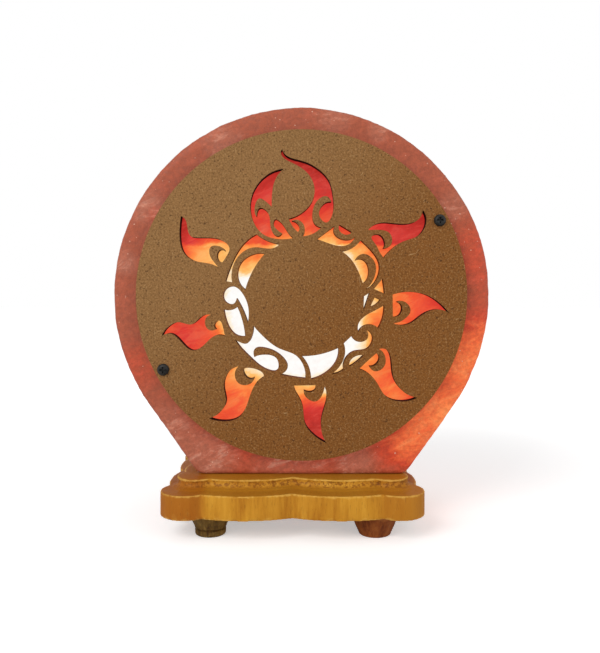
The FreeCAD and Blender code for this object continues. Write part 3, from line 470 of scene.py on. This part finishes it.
# %% Build the wood figure group
wood_figure, g, given, out = new_group(
    "wood_figure",
    [("Coordinates", "NodeSocketVector", None), ("Streak Width", "NodeSocketFloat", 0.002)],
    [("Figure", "NodeSocketFloat"), ("Pores", "NodeSocketFloat"), ("Height", "NodeSocketFloat")],
)
per_width = g.math("DIVIDE", 1.0, given["Streak Width"])
bands = g.add("TexNoise", {"Vector": given["Coordinates"], "Scale": g.math("MULTIPLY", per_width, 0.16),
                           "Detail": 4, "Roughness": 0.55, "Distortion": 0.4}).outputs[0]
lines = g.add("TexNoise", {"Vector": given["Coordinates"], "Scale": per_width, "Detail": 5,
                           "Roughness": 0.65, "Distortion": 0.2}).outputs[0]
pits = g.add("TexNoise", {"Vector": given["Coordinates"], "Scale": g.math("MULTIPLY", per_width, 3.1),
                          "Detail": 2, "Roughness": 0.5}).outputs[0]
figure = g.math("ADD", g.span(bands, 0.32, 0.68, 0, 0.6), g.span(lines, 0.3, 0.7, 0, 0.4))
pores = g.span(pits, 0.62, 0.72)
g.tree.links.new(figure, out["Figure"])
g.tree.links.new(pores, out["Pores"])
g.tree.links.new(g.math("SUBTRACT", g.scale(lines, 0.6), pores), out["Height"])
print(wood_figure.name, "has", len(wood_figure.nodes), "nodes")

# %% [markdown]
# ## Worn edges and painted shade
# Lacquer and paint rub thin where two surfaces meet, and a painted highlight lies along the same
# edges. Pointiness measures how sharply the mesh bends at each point, which finds those edges without
# drawing them, and finds the hollows too, where shade is painted in. A little noise breaks the line up.

# %% Build the group of worn edges and painted shade
worn_edges_and_painted_shade, g, given, out = new_group(
    "worn_edges_and_painted_shade",
    [("Coordinates", "NodeSocketVector", None), ("Low", "NodeSocketFloat", 0.52),
     ("High", "NodeSocketFloat", 0.6)],
    [("Edge", "NodeSocketFloat"), ("Hollow", "NodeSocketFloat")],
)
sharpness = g.add("NewGeometry").outputs["Pointiness"]
ragged = g.span(g.noise(given["Coordinates"], 4 * MM, 4, 0.7), 0.3, 0.7, -0.02, 0.02)
sharpness = g.math("ADD", sharpness, ragged)
g.tree.links.new(g.span(sharpness, given["Low"], given["High"]), out["Edge"])
# Painted shade: Hollow marks concave places, which the wood darkens.
g.tree.links.new(g.span(sharpness, 0.48, 0.42), out["Hollow"])
print(worn_edges_and_painted_shade.name, "has", len(worn_edges_and_painted_shade.nodes), "nodes")

# %% [markdown]
# ## Light inside the salt
# The bulb is on, and salt scatters its light, so the block glows from within: nearly white beside
# the bulb, then orange, then deep red where the light has come a long way. A lit volume would be
# slow and grainy. The glow is painted instead as heat, a number that falls with distance from the
# bulb, and a colour ramp turns heat into colour. Milky and clear layers of the salt pass more or less
# light, which a few listed spots add.

# %% Place the glow
GLOW_SPOTS = [
    # across and up from the plate's centre in mm, reach, and heat added
    (6, -69, 17, -0.25),
    (13, -51, 6, 0.24),
    (-59, -20, 18, -0.16),
    (-34, -40, 10, 0.09),
    (-50, 20, 21, 0.17),
    (40, 0, 12, 0.13),
    (52, -57, 15, 0.10),
    (31, -31, 11, 0.10),
    (15, 30, 9, 0.2),
    (27, 24, 14, 0.09),
    (-41, 0, 10, 0.12),
    (-27, 17, 11, -0.2),
    (47, -30, 12, -0.05),
    (38, -14, 9, -0.12),
    (-20, 24, 10, -0.2),
    (64, 41, 16, 0.05),
]
RIM_SPOTS = [
    (104, -42, 52, 0.70),
    (74, -80, 34, 0.62),
    (101, 22, 34, 0.30),
    (-90, -39, 20, 0.24),
    (-80, 44, 8, 0.25),
    (50, -88, 16, 0.2),
]
PALE_SPOTS = [
    # milky places in the same way; the last figure is how milky
    (18, 98, 13, 0.55), (-42, 83, 15, 0.6), (-84, 48, 12, 0.65), (-97, 18, 10, 0.7),
    (-53, -90, 22, 0.75), (-72, -72, 18, 0.45), (30, -94, 16, 1.0), (-6, -95, 28, 0.75),
    (85, 50, 12, 0.5), (43, 91, 8, 0.6), (-20, 37.5, 4, 0.55),
]


FULL_SHARE = 0.25


def glow_from(graph, across, up, places, heat):
    """Add soft round spots to the heat; each has its full effect over a quarter of its reach."""
    for x, z, reach, amount in places:
        dx = graph.math("SUBTRACT", across, x * MM)
        dz = graph.math("SUBTRACT", up, z * MM)
        near = graph.span(graph.length(dx, dz), reach * MM, reach * FULL_SHARE * MM)
        heat = graph.math("MULTIPLY_ADD", near, amount, heat)
    return heat


print(len(GLOW_SPOTS) + len(RIM_SPOTS) + len(PALE_SPOTS), "spots placed by hand")

# %% [markdown]
# The salt has two ramps: one for the hot part that shows through the cuts, and one for the rim, which
# daylight falls on as well. Both start from the same frayed coordinates and the same veins, because
# it is one block. A clear layer ends at one level, so the heat drops there in a short step.

# %% Coordinates and patterns of the salt
GLOW_CENTRE = (-3, -9)
FRAY_REACH = 9 * MM

salt_material, g, shader, where = surface("salt_crystal")
fray = g.math("SUBTRACT", g.noise(where, 16 * MM, 5, 0.62), 0.5)
speck = g.noise(where, 1.9 * MM, 4, 0.65)
veins = g.noise(g.stretched(where, (1, 1, 2.6), (0, math.radians(20), 0)), 15 * MM, 6, 0.72, 0.9)
axes = g.add("SeparateXYZ", {0: where}).outputs
level = g.math("SUBTRACT", axes["Z"], plate_centre.z)
across = g.math("MULTIPLY_ADD", fray, FRAY_REACH, axes["X"])
up = g.math("MULTIPLY_ADD", fray, FRAY_REACH, level)
dx = g.math("SUBTRACT", across, GLOW_CENTRE[0] * MM)
dz = g.math("SUBTRACT", up, GLOW_CENTRE[1] * MM)
from_glow = g.length(dx, dz)
print("glow centred", GLOW_CENTRE, "mm from the middle of the plate")

# %% [markdown]
# Under the plate, heat falls steeply just outside the bulb and then slowly out to the rim. The rim
# takes its heat from the real distance to the bulb, so the sides and the back glow as well.

# %% Heat and colour of the salt
HOT_TO = 31 * MM
WHITE_TO = 46 * MM
GLOW_TO = 100 * MM
LAYER_HEIGHT = 28 * MM
LAYER_BLUR = 1 * MM
LAYER_DROP = 0.16
BULB_CLOSE, BULB_FAR = 16 * MM, 92 * MM
PLATE_EDGE = 1 * MM
SALT_INNER = [
    (0.0, seen(112, 10, 8)), (0.2, seen(168, 28, 22)), (0.35, seen(214, 44, 38)),
    (0.5, seen(240, 84, 42)), (0.64, seen(255, 140, 60)), (0.77, seen(255, 192, 104)),
    (0.88, seen(255, 236, 200)), (0.97, seen(255, 255, 252)),
]
SALT_OUTER = [
    (0.0, seen(162, 80, 54)), (0.22, seen(178, 74, 46)), (0.42, seen(200, 64, 34)),
    (0.62, seen(230, 98, 48)), (0.85, seen(248, 136, 70)), (1.0, seen(255, 205, 140)),
]

near = g.span(from_glow, HOT_TO, WHITE_TO, 0.34, 0, smooth=False)
far = g.span(from_glow, HOT_TO, GLOW_TO, 0.74, 0.25, smooth=False)
layer = g.span(up, LAYER_HEIGHT - LAYER_BLUR, LAYER_HEIGHT + LAYER_BLUR, 0, -LAYER_DROP)
heat = g.math("ADD", g.math("ADD", near, far), layer)
heat = glow_from(g, across, up, GLOW_SPOTS, heat)
inner_heat = g.math("ADD", heat, g.span(veins, 0.3, 0.7, -0.05, 0.05))
inner = g.ramp(inner_heat, SALT_INNER)

bulb_middle = (0, 0, bulb_high[2] - (bulb_high[0] - bulb_low[0]) / 2)
from_bulb = g.add("VectorMath", {0: where, 1: bulb_middle}, operation="DISTANCE").outputs["Value"]
outer_heat = g.span(from_bulb, BULB_CLOSE, BULB_FAR, 1.0, 0.0)
outer_heat = glow_from(g, across, up, RIM_SPOTS, outer_heat)
outer_heat = g.math("ADD", outer_heat, g.span(veins, 0.3, 0.7, -0.1, 0.1))
outer = g.ramp(outer_heat, SALT_OUTER)

radius = g.length(axes["X"], level)
under_plate = g.math("MULTIPLY", g.span(radius, plate_radius, plate_radius - PLATE_EDGE),
                     g.span(axes["Y"], salt_low[1] + 6 * MM, salt_low[1] + 4 * MM))
colour = g.blend(under_plate, outer, inner)
print("heat falls from the bulb's middle at", round(bulb_middle[2], 4))

# %% [markdown]
# Milky salt shows as paler, greyer places with wisps in them. The wisps come from stretched noise,
# and a short list places the larger ones. Flakes are tiny cleavage faces, and the light that they
# catch is painted in as a paler colour, a painted highlight: the random colour of each small Voronoi
# cell is compared with a limit, so that only a few cells shine, and noise tears their round outline.

# %% Milk, grains and painted glints of flakes
MILK_EVERYWHERE, MOST_MILK = 0.1, 0.75
FLAKE_SIZE = 1.2 * MM

wisps = g.span(veins, 0.47, 0.66)
milky = glow_from(g, across, up, PALE_SPOTS, MILK_EVERYWHERE)
milk = g.math("MULTIPLY", g.math("MULTIPLY_ADD", wisps, 0.75, 0.25), milky)
milk = g.math("MINIMUM", milk, MOST_MILK)
colour = g.blend(milk, colour, seen(206, 146, 122))
grain_depth = g.math("MULTIPLY_ADD", under_plate, -0.75, 1.0)
grains = g.math("MULTIPLY_ADD", g.span(speck, 0.3, 0.72, -0.16, 0.16), grain_depth, 1.0)
grains = g.add("CombineXYZ", {0: grains, 1: grains, 2: grains}).outputs[0]
colour = g.add("VectorMath", {0: colour, 1: grains}, operation="MULTIPLY").outputs[0]
cells = g.add("TexVoronoi", {"Vector": where, "Scale": 1 / FLAKE_SIZE}).outputs
chance = g.add("SeparateColor", {0: cells["Color"]}).outputs["Red"]
torn = g.math("MULTIPLY_ADD", speck, 0.9, g.math("SUBTRACT", cells["Distance"], 0.45))
# Painted highlight: outside the plate, a few flake cells are made paler, as if they caught the light.
painted_flake_glint = g.math("MULTIPLY", g.span(chance, 0.97, 0.98), g.span(torn, 0.36, 0.2))
painted_flake_glint = g.math("MULTIPLY", painted_flake_glint, g.math("SUBTRACT", 1.0, under_plate))
colour = g.blend(g.scale(painted_flake_glint, 0.6), colour, seen(236, 186, 162))
print("flakes about", round(FLAKE_SIZE / MM, 1), "mm across")

# %% [markdown]
# The same colour serves twice. Where the salt is hot it is given out as light, and where it is cold
# it is the colour of the surface, which the lamps light. A washed skin is only half shiny, so the
# roughness and the bump follow the specks.

# %% Light and shine of the salt
lit = g.math("ADD", under_plate, g.span(outer_heat, 0.05, 0.8, 0.14, 0.7))
lit = g.math("MINIMUM", lit, 1.0)
body_colour = g.blend(lit, colour, seen(50, 16, 10))
glow = g.blend(lit, (0, 0, 0, 1), colour)
skin = g.math("ADD", speck, g.scale(g.noise(where, 0.6 * MM, 2), 0.5))
wire(g, shader, Base_Color=body_colour, Emission_Color=glow, Emission_Strength=1.0,
     Roughness=g.span(speck, 0.3, 0.7, 0.4, 0.66), Specular_IOR_Level=0.22, IOR=1.54,
     Normal=bump(g, skin, 0.5 * MM, 0.6))
print(salt_material.name, "has", len(salt_material.node_tree.nodes), "nodes")

# %% [markdown]
# ## Fibreboard
# The plate is pressed from wood fibres under a thin matt coat. Pale fibres a few millimetres long
# lie in every direction, with fine dark flecks between them. Each direction is one stretched noise,
# cut off near its top so that only thin strands are left.

# %% Fibres, flecks and coat
FIBRE_TURNS = (12, 55, 98, 141)
FIBRE_LENGTH, FIBRE_SLIMNESS = 3.4 * MM, 8
PAINTED_LIGHT_CORNER, PAINTED_SHADE_CORNER = -95 * MM, 60 * MM

plate_material, g, shader, where = surface("fibreboard")
strands = None
for turn in FIBRE_TURNS:
    lie = g.stretched(where, (1, 1, FIBRE_SLIMNESS), (0, math.radians(turn), 0))
    strand = g.span(g.noise(lie, FIBRE_LENGTH, 2, 0.5, 0.8), 0.685, 0.75)
    strands = strand if strands is None else g.math("MAXIMUM", strands, strand)
flecks = g.span(g.noise(where, 1.3 * MM, 2, 0.6), 0.62, 0.7)
pulp = g.noise(where, 1.0 * MM, 3, 0.75)
mottle = g.noise(where, 14 * MM, 3, 0.5)
axes = g.add("SeparateXYZ", {0: where}).outputs
up = g.math("SUBTRACT", axes["Z"], plate_centre.z)
slant = g.math("SUBTRACT", axes["X"], up)
# Painted light and shade: the coat is paler and greyer towards the upper left, where the light comes
# from, and darker and browner towards the lower right.
coat_and_painted_light = g.blend(g.span(slant, PAINTED_LIGHT_CORNER, PAINTED_SHADE_CORNER), seen(138, 100, 58), seen(124, 76, 28))
coat_and_painted_light = g.blend(g.span(mottle, 0.3, 0.7, 0, 0.14), coat_and_painted_light, seen(104, 72, 34))
coat_and_painted_light = g.blend(g.span(pulp, 0.36, 0.5, 0.6, 0), coat_and_painted_light, seen(84, 52, 20))
coat_and_painted_light = g.blend(g.span(pulp, 0.52, 0.68, 0, 0.55), coat_and_painted_light, seen(176, 138, 88))
coat_and_painted_light = g.blend(g.scale(strands, 0.5), coat_and_painted_light, seen(196, 158, 108))
coat_and_painted_light = g.blend(g.scale(flecks, 0.75), coat_and_painted_light, seen(66, 38, 14))
print("fibres lie in", len(FIBRE_TURNS), "directions")

# %% [markdown]
# A laser burns the walls of the cuts nearly black. The walls are found by their direction: they are
# the faces that look sideways. Round the middle, the glow behind the plate lights them a warm brown.

# %% Burnt walls and finish of the plate
LIT_WALLS, LIT_BLUR = 50 * MM, 8 * MM

sideways = g.add("SeparateXYZ", {0: g.add("TexCoord").outputs["Normal"]}).outputs["Y"]
facing = g.math("ABSOLUTE", sideways)
burnt = g.span(facing, 0.75, 0.45)
soot = g.blend(g.noise(where, 1.5 * MM, 3), seen(26, 9, 5), seen(52, 22, 10))
lit_walls = g.span(g.length(axes["X"], up), LIT_WALLS + LIT_BLUR, LIT_WALLS - LIT_BLUR)
soot = g.blend(lit_walls, soot, seen(120, 54, 16))
wire(g, shader, Base_Color=g.blend(burnt, coat_and_painted_light, soot),
     Roughness=g.math("ADD", g.span(pulp, 0.3, 0.7, 0.55, 0.7), g.scale(burnt, 0.2)),
     Specular_IOR_Level=0.15,
     Normal=bump(g, g.math("SUBTRACT", strands, flecks), 0.12 * MM, 0.6))
print(plate_material.name, "has", len(plate_material.node_tree.nodes), "nodes")

# %% [markdown]
# ## Lacquered wood
# The board and the feet have one recipe: a ramp colours the figure, and blotches, grime, pores and
# painted shade in the hollows come over it, with rubbed edges last, lightened partly as a painted
# highlight. Each wood brings its own four colours and the way that its grain runs.

# %% The wood recipe
LACQUER_GRAIN = 0.12 * MM


def wood(name, colours, streak, along, patch=None):
    """Lacquered wood: dark, middle, light and edge colours (rubbed, with a painted highlight), and the
    way the grain runs.
    """
    material, g, shader, where = surface(name)
    lie = g.stretched(where, along)
    grain = group_node(g, wood_figure, {"Coordinates": lie, "Streak Width": streak})
    wear_and_shade = group_node(g, worn_edges_and_painted_shade, {"Coordinates": where, "Low": 0.515, "High": 0.56})
    dark, middle, light, rubbed_and_highlight = colours
    colour = g.ramp(grain["Figure"], [(0.1, dark), (0.5, middle), (0.9, light)])
    if patch is not None:
        colour = patch(g, where, colour)
    blotch = g.span(g.noise(where, 20 * MM, 3), 0.35, 0.65, 0.0, 0.3)
    colour = g.blend(blotch, colour, dark)
    grime = g.span(g.noise(where, 1.6 * MM, 4, 0.7), 0.6, 0.74)
    colour = g.blend(g.scale(grime, 0.5), colour, dark)
    colour = g.blend(g.scale(grain["Pores"], 0.3), colour, seen(96, 48, 10))
    # Painted shade: hollows and concave corners are darkened.
    colour = g.blend(g.scale(wear_and_shade["Hollow"], 0.65), colour, seen(96, 48, 8))
    # Lighter along sharp edges: rubbed lacquer, with a painted highlight in it.
    colour = g.blend(g.scale(wear_and_shade["Edge"], 0.6), colour, rubbed_and_highlight)
    wire(g, shader, Base_Color=colour, Roughness=g.span(grain["Figure"], 0, 1, 0.64, 0.54),
         Coat_Weight=0.03, Coat_Roughness=0.3, Specular_IOR_Level=0.12,
         Normal=bump(g, grain["Height"], LACQUER_GRAIN, 0.5))
    print(name, "has", len(material.node_tree.nodes), "nodes")
    return material


# %% [markdown]
# The board's walls are golden and its top is browner: painted shade from the salt and its painted
# orange glow on the wood. Its lobes are browner too, the left one the most, and dark pits are painted
# along the routed slope.

# %% Patches of the board
LOBE_FROM, LOBE_TO = 44 * MM, 50 * MM
PIT_SIZE = 1.7 * MM


def board_patches(g, where, colour):
    """Top painted browner as shade and salt glow, browner lobes, and a pitted slope."""
    up = g.add("SeparateXYZ", {0: g.add("TexCoord").outputs["Normal"]}).outputs["Z"]
    on_top = g.span(up, 0.5, 0.9)
    # Painted shade and glow: faces that look up are darker and more orange.
    colour = g.blend(g.scale(on_top, 0.75), colour, seen(164, 108, 26))
    axes = g.add("SeparateXYZ", {0: where}).outputs
    middle = (board_low[0] + board_high[0]) / 2
    aside = g.math("SUBTRACT", axes["X"], middle)
    at_end = g.span(g.math("ABSOLUTE", aside), LOBE_FROM, LOBE_TO)
    lobe = g.blend(g.span(aside, -10 * MM, 10 * MM), seen(156, 82, 16), seen(172, 108, 28))
    colour = g.blend(g.scale(at_end, 0.75), colour, lobe)
    part = g.math("DIVIDE", g.math("SUBTRACT", axes["Z"], slope_low), slope_height)
    on_slope = g.math("MULTIPLY", g.span(part, 0.0, 0.12), g.span(part, 1.0, 0.88))
    pitted = g.span(g.noise(where, PIT_SIZE, 3, 0.6), 0.46, 0.6)
    return g.blend(g.scale(g.math("MULTIPLY", on_slope, pitted), 0.75), colour, seen(112, 58, 10))


# %% [markdown]
# Fine streaks run up the walls of the board and along the axis of each foot. Three feet are red brown
# and the left front one is a greener brown.

# %% Wood materials
golden = (seen(172, 110, 24), seen(194, 134, 36), seen(206, 148, 46), seen(226, 180, 88))
olive = (seen(66, 44, 18), seen(112, 84, 36), seen(140, 110, 54), seen(160, 128, 66))
russet = (seen(92, 42, 16), seen(138, 72, 28), seen(160, 92, 40), seen(180, 112, 56))
UP_THE_WALL = (1, 0.35, 0.12)
UP_THE_FOOT = (1, 1, 0.12)
BOARD_STREAK, FOOT_STREAK = 1.6 * MM, 1.2 * MM
board_material = wood("lacquered_wood", golden, BOARD_STREAK, UP_THE_WALL, board_patches)
olive_material = wood("olive_foot", olive, FOOT_STREAK, UP_THE_FOOT)
russet_material = wood("red_foot", russet, FOOT_STREAK, UP_THE_FOOT)

# %% [markdown]
# ## Metal, plastic and glass
# The small parts come from a few families. One group makes the smudges and hairline scratches that
# handling leaves, and each material places it with its own two colours. Each direction of scratches
# is one stretched noise, as the fibres of the plate are.

# %% Handling marks
handling_marks, g, given, out = new_group(
    "handling_marks",
    [("Coordinates", "NodeSocketVector", None), ("Size", "NodeSocketFloat", 0.002)],
    [("Scratches", "NodeSocketFloat"), ("Smudge", "NodeSocketFloat"), ("Height", "NodeSocketFloat")],
)
per_size = g.math("DIVIDE", 1.0, given["Size"])
scratches = None
for turn in (25, 80, 150):
    lie = g.stretched(given["Coordinates"], (1, 1, 14), (math.radians(turn), math.radians(turn), 0))
    line = g.add("TexNoise", {"Vector": lie, "Scale": per_size, "Detail": 3}).outputs[0]
    line = g.span(line, 0.66, 0.74)
    scratches = line if scratches is None else g.math("MAXIMUM", scratches, line)
smudge = g.add("TexNoise", {"Vector": given["Coordinates"], "Scale": g.math("MULTIPLY", per_size, 0.4),
                            "Detail": 4, "Roughness": 0.6}).outputs[0]
g.tree.links.new(scratches, out["Scratches"])
g.tree.links.new(smudge, out["Smudge"])
g.tree.links.new(g.math("SUBTRACT", g.scale(smudge, 0.3), scratches), out["Height"])
print(handling_marks.name, "has", len(handling_marks.nodes), "nodes")

# %% [markdown]
# Bare metals are fully metallic and take their colour from what they reflect. Plastics have a soft,
# low shine, glass lets light through, and the wire in the bulb gives out light of its own.

# %% Recipes for small parts
SCRATCH_SIZE = 1.2 * MM


def handled(name, dark, light, metallic, rough):
    """A metal or plastic with smudges that shift its colour and shine, and fine scratches."""
    material, g, shader, where = surface(name)
    marks = group_node(g, handling_marks, {"Coordinates": where, "Size": SCRATCH_SIZE})
    colour = g.blend(g.span(marks["Smudge"], 0.35, 0.65), dark, light)
    colour = g.blend(g.scale(marks["Scratches"], 0.35), colour, light)
    shine = g.math("MULTIPLY_ADD", marks["Smudge"], 0.16, rough)
    wire(g, shader, Base_Color=colour, Metallic=metallic, Roughness=shine,
         Normal=bump(g, marks["Height"], 0.03 * MM, 0.4))
    return material


def clear(name, tint, rough):
    """Clear glass with a faint film of dust on it."""
    material, g, shader, where = surface(name)
    film = g.span(g.noise(where, 5 * MM, 4), 0.4, 0.7)
    wire(g, shader, Base_Color=tint, Transmission_Weight=1.0, IOR=1.48,
         Roughness=g.math("MULTIPLY_ADD", film, 0.06, rough))
    return material


def glowing(name, colour, strength):
    """A hot wire: its light flickers a little along its length."""
    material, g, shader, where = surface(name)
    ripple = g.span(g.noise(where, 1.5 * MM, 2), 0.3, 0.7, 0.75, 1.0)
    warm = g.blend(ripple, seen(255, 150, 60), colour)
    wire(g, shader, Base_Color=seen(60, 50, 45), Emission_Color=warm, Emission_Strength=strength,
         Roughness=0.5)
    return material


# %% [markdown]
# One dictionary holds every finish by the name of its material slot, so that the record can ask for
# it by name.

# %% All the finishes
LOOKS = {
    "salt_crystal": salt_material,
    "fibreboard": plate_material,
    "lacquered_wood": board_material,
    "olive_foot": olive_material,
    "red_foot": russet_material,
    "blackened_screw": handled("blackened_screw", seen(14, 13, 13), seen(44, 42, 40), 0.6, 0.4),
    "zinc_screw": handled("zinc_screw", seen(150, 148, 138), seen(196, 192, 178), 1.0, 0.28),
    "plug_plastic": handled("plug_plastic", seen(150, 152, 156), seen(172, 174, 178), 0.0, 0.5),
    "holder_plastic": handled("holder_plastic", seen(20, 20, 21), seen(34, 34, 35), 0.0, 0.38),
    "insulating_insert": handled("insulating_insert", seen(214, 208, 194), seen(232, 228, 216), 0.0, 0.2),
    "contact_brass": handled("contact_brass", seen(176, 136, 62), seen(222, 184, 104), 1.0, 0.26),
    "spring_steel": handled("spring_steel", seen(128, 130, 134), seen(176, 178, 182), 1.0, 0.24),
    "rivet_aluminium": handled("rivet_aluminium", seen(176, 178, 182), seen(208, 210, 212), 1.0, 0.32),
    "wire_nickel": handled("wire_nickel", seen(168, 164, 156), seen(198, 194, 186), 1.0, 0.3),
    "cap_nickel": handled("cap_nickel", seen(176, 174, 168), seen(214, 212, 206), 1.0, 0.18),
    "cap_insulator": handled("cap_insulator", seen(12, 12, 16), seen(28, 28, 34), 0.0, 0.12),
    "solder": handled("solder", seen(150, 152, 156), seen(190, 192, 196), 1.0, 0.42),
    "bulb_glass": clear("bulb_glass", seen(252, 248, 240), 0.01),
    "stem_glass": clear("stem_glass", seen(236, 244, 242), 0.03),
    "glowing_filament": glowing("glowing_filament", seen(255, 226, 170), 6.0),
}
print(len(LOOKS), "finishes")

# %% [markdown]
# ## Put the finishes on
# The record names one material slot for each node, so one loop dresses every node that is still
# shown and every piece that stands for one.

# %% Dress the pieces
def dress(thing, material):
    """Give a piece one material, in place of any that it has."""
    thing.data.materials.clear()
    thing.data.materials.append(material)


for part in frame["record"]["subparts"]:
    dress(frame["nodes"][part["node"]], LOOKS[part["material_slot"]])
dress(salt, LOOKS["salt_crystal"])
dress(board, LOOKS["lacquered_wood"])
for node, foot in feet.items():
    dress(foot, LOOKS["olive_foot" if node == "foot_front_left" else "red_foot"])

# %% [markdown]
# ## Floor and surroundings
# The floor is pale and keeps a soft shadow. For the camera alone it is lifted towards white, less
# round the lamp, where the shadow lies, and more further off, so that no horizon shows. Seen from
# below it is clear, so that the underside of the lamp can be looked at too.

# %% Floor
FLOOR_SIZE = 12
FLOOR_LIFT_NEAR, FLOOR_LIFT_FAR = 0.42, 0.62
SHADOW_WITHIN, WHITE_BEYOND = 0.16, 0.5

bpy.ops.mesh.primitive_plane_add(size=FLOOR_SIZE)
floor = bpy.context.active_object
floor.name = "floor"
material, g, shader, where = surface("pale_floor")
wire(g, shader, Base_Color=seen(238, 238, 238), Roughness=0.9, Specular_IOR_Level=0.1)
path = g.add("LightPath").outputs
away = g.add("VectorMath", {0: where}, operation="LENGTH").outputs["Value"]
lift = g.span(away, SHADOW_WITHIN, WHITE_BEYOND, FLOOR_LIFT_NEAR, FLOOR_LIFT_FAR)
seen_directly = g.math("MULTIPLY", path["Is Camera Ray"], lift)
white = g.add("Emission", {"Color": (1, 1, 1, 1), "Strength": seen_directly}).outputs[0]
pale = g.add("AddShader", {0: shader.outputs[0], 1: white}).outputs[0]
behind = g.add("NewGeometry").outputs["Backfacing"]
nothing = g.add("BsdfTransparent").outputs[0]
both = g.add("MixShader", {0: behind, 1: pale, 2: nothing}).outputs[0]
g.tree.links.new(both, material.node_tree.nodes["Material Output"].inputs["Surface"])
floor.data.materials.append(material)
print("floor", FLOOR_SIZE, "m across")

# %% [markdown]
# The photograph has plain white surroundings. So the camera, the reflections and what is seen through
# glass meet a white world, while the light that the world casts on the lamp stays at its own level.

# %% World
WORLD_LIGHT = 0.5

world = bpy.data.worlds.new("soft_room")
bpy.context.scene.world = world
world.use_nodes = True
g = Graph(world.node_tree)
backdrop = world.node_tree.nodes["Background"]
path = g.add("LightPath").outputs
shown = g.math("MAXIMUM", path["Is Camera Ray"],
               g.math("MAXIMUM", path["Is Glossy Ray"], path["Is Transmission Ray"]))
g.tree.links.new(g.span(shown, 0, 1, WORLD_LIGHT, 1.0, smooth=False), backdrop.inputs["Strength"])
backdrop.inputs["Color"].default_value = (1, 1, 1, 1)
print(world.name, "lights the scene at", WORLD_LIGHT)

# %% [markdown]
# ## Lamps and camera
# Two large soft lamps light the scene, the stronger one from the upper left, where the photograph's
# light comes from. Large lamps close by give the soft edge that its shadow has.

# %% Lamps
SOFT_LAMPS = [
    # name, place, size, watts
    ("key", (-0.65, -0.95, 0.85), 0.7, 9.5),
    ("fill", (0.9, -0.7, 0.35), 0.8, 3.0),
]
for name, place, size, watts in SOFT_LAMPS:
    lamp = bpy.data.lights.new(name, "AREA")
    lamp.size = size
    lamp.energy = watts
    holder = bpy.data.objects.new(name, lamp)
    holder.location = place
    holder.rotation_euler = (plate_centre - holder.location).to_track_quat("-Z", "Y").to_euler()
    bpy.context.scene.collection.objects.link(holder)
    print(name, "lamp of", watts, "watts")

# %% [markdown]
# The camera stands level with the middle of the plate, 38 cm in front of it, and a small shift puts
# the plate as high in the frame as the photograph has it. A Blender lens counts in widths of its
# sensor over the longer side of the frame, which here is the height.

# %% Camera
FRAME_WIDTH, FRAME_HEIGHT = 600, 653
AIM_PIXEL = (301.5, 295)
FOCAL_PIXELS = 700
CAMERA_DISTANCE = 380 * MM

lens = bpy.data.cameras.new("camera")
lens.lens = lens.sensor_width * FOCAL_PIXELS / FRAME_HEIGHT
lens.shift_x = (FRAME_WIDTH / 2 - AIM_PIXEL[0]) / FRAME_HEIGHT
lens.shift_y = (AIM_PIXEL[1] - FRAME_HEIGHT / 2) / FRAME_HEIGHT
lens.clip_start = 0.01
camera = bpy.data.objects.new("camera", lens)
camera.location = plate_centre - Vector((0, CAMERA_DISTANCE, 0))
camera.rotation_euler = (math.radians(90), 0, 0)
bpy.context.scene.collection.objects.link(camera)
bpy.context.scene.camera = camera
bpy.context.scene.view_settings.view_transform = "Standard"
print("lens of", round(lens.lens, 1), "mm")
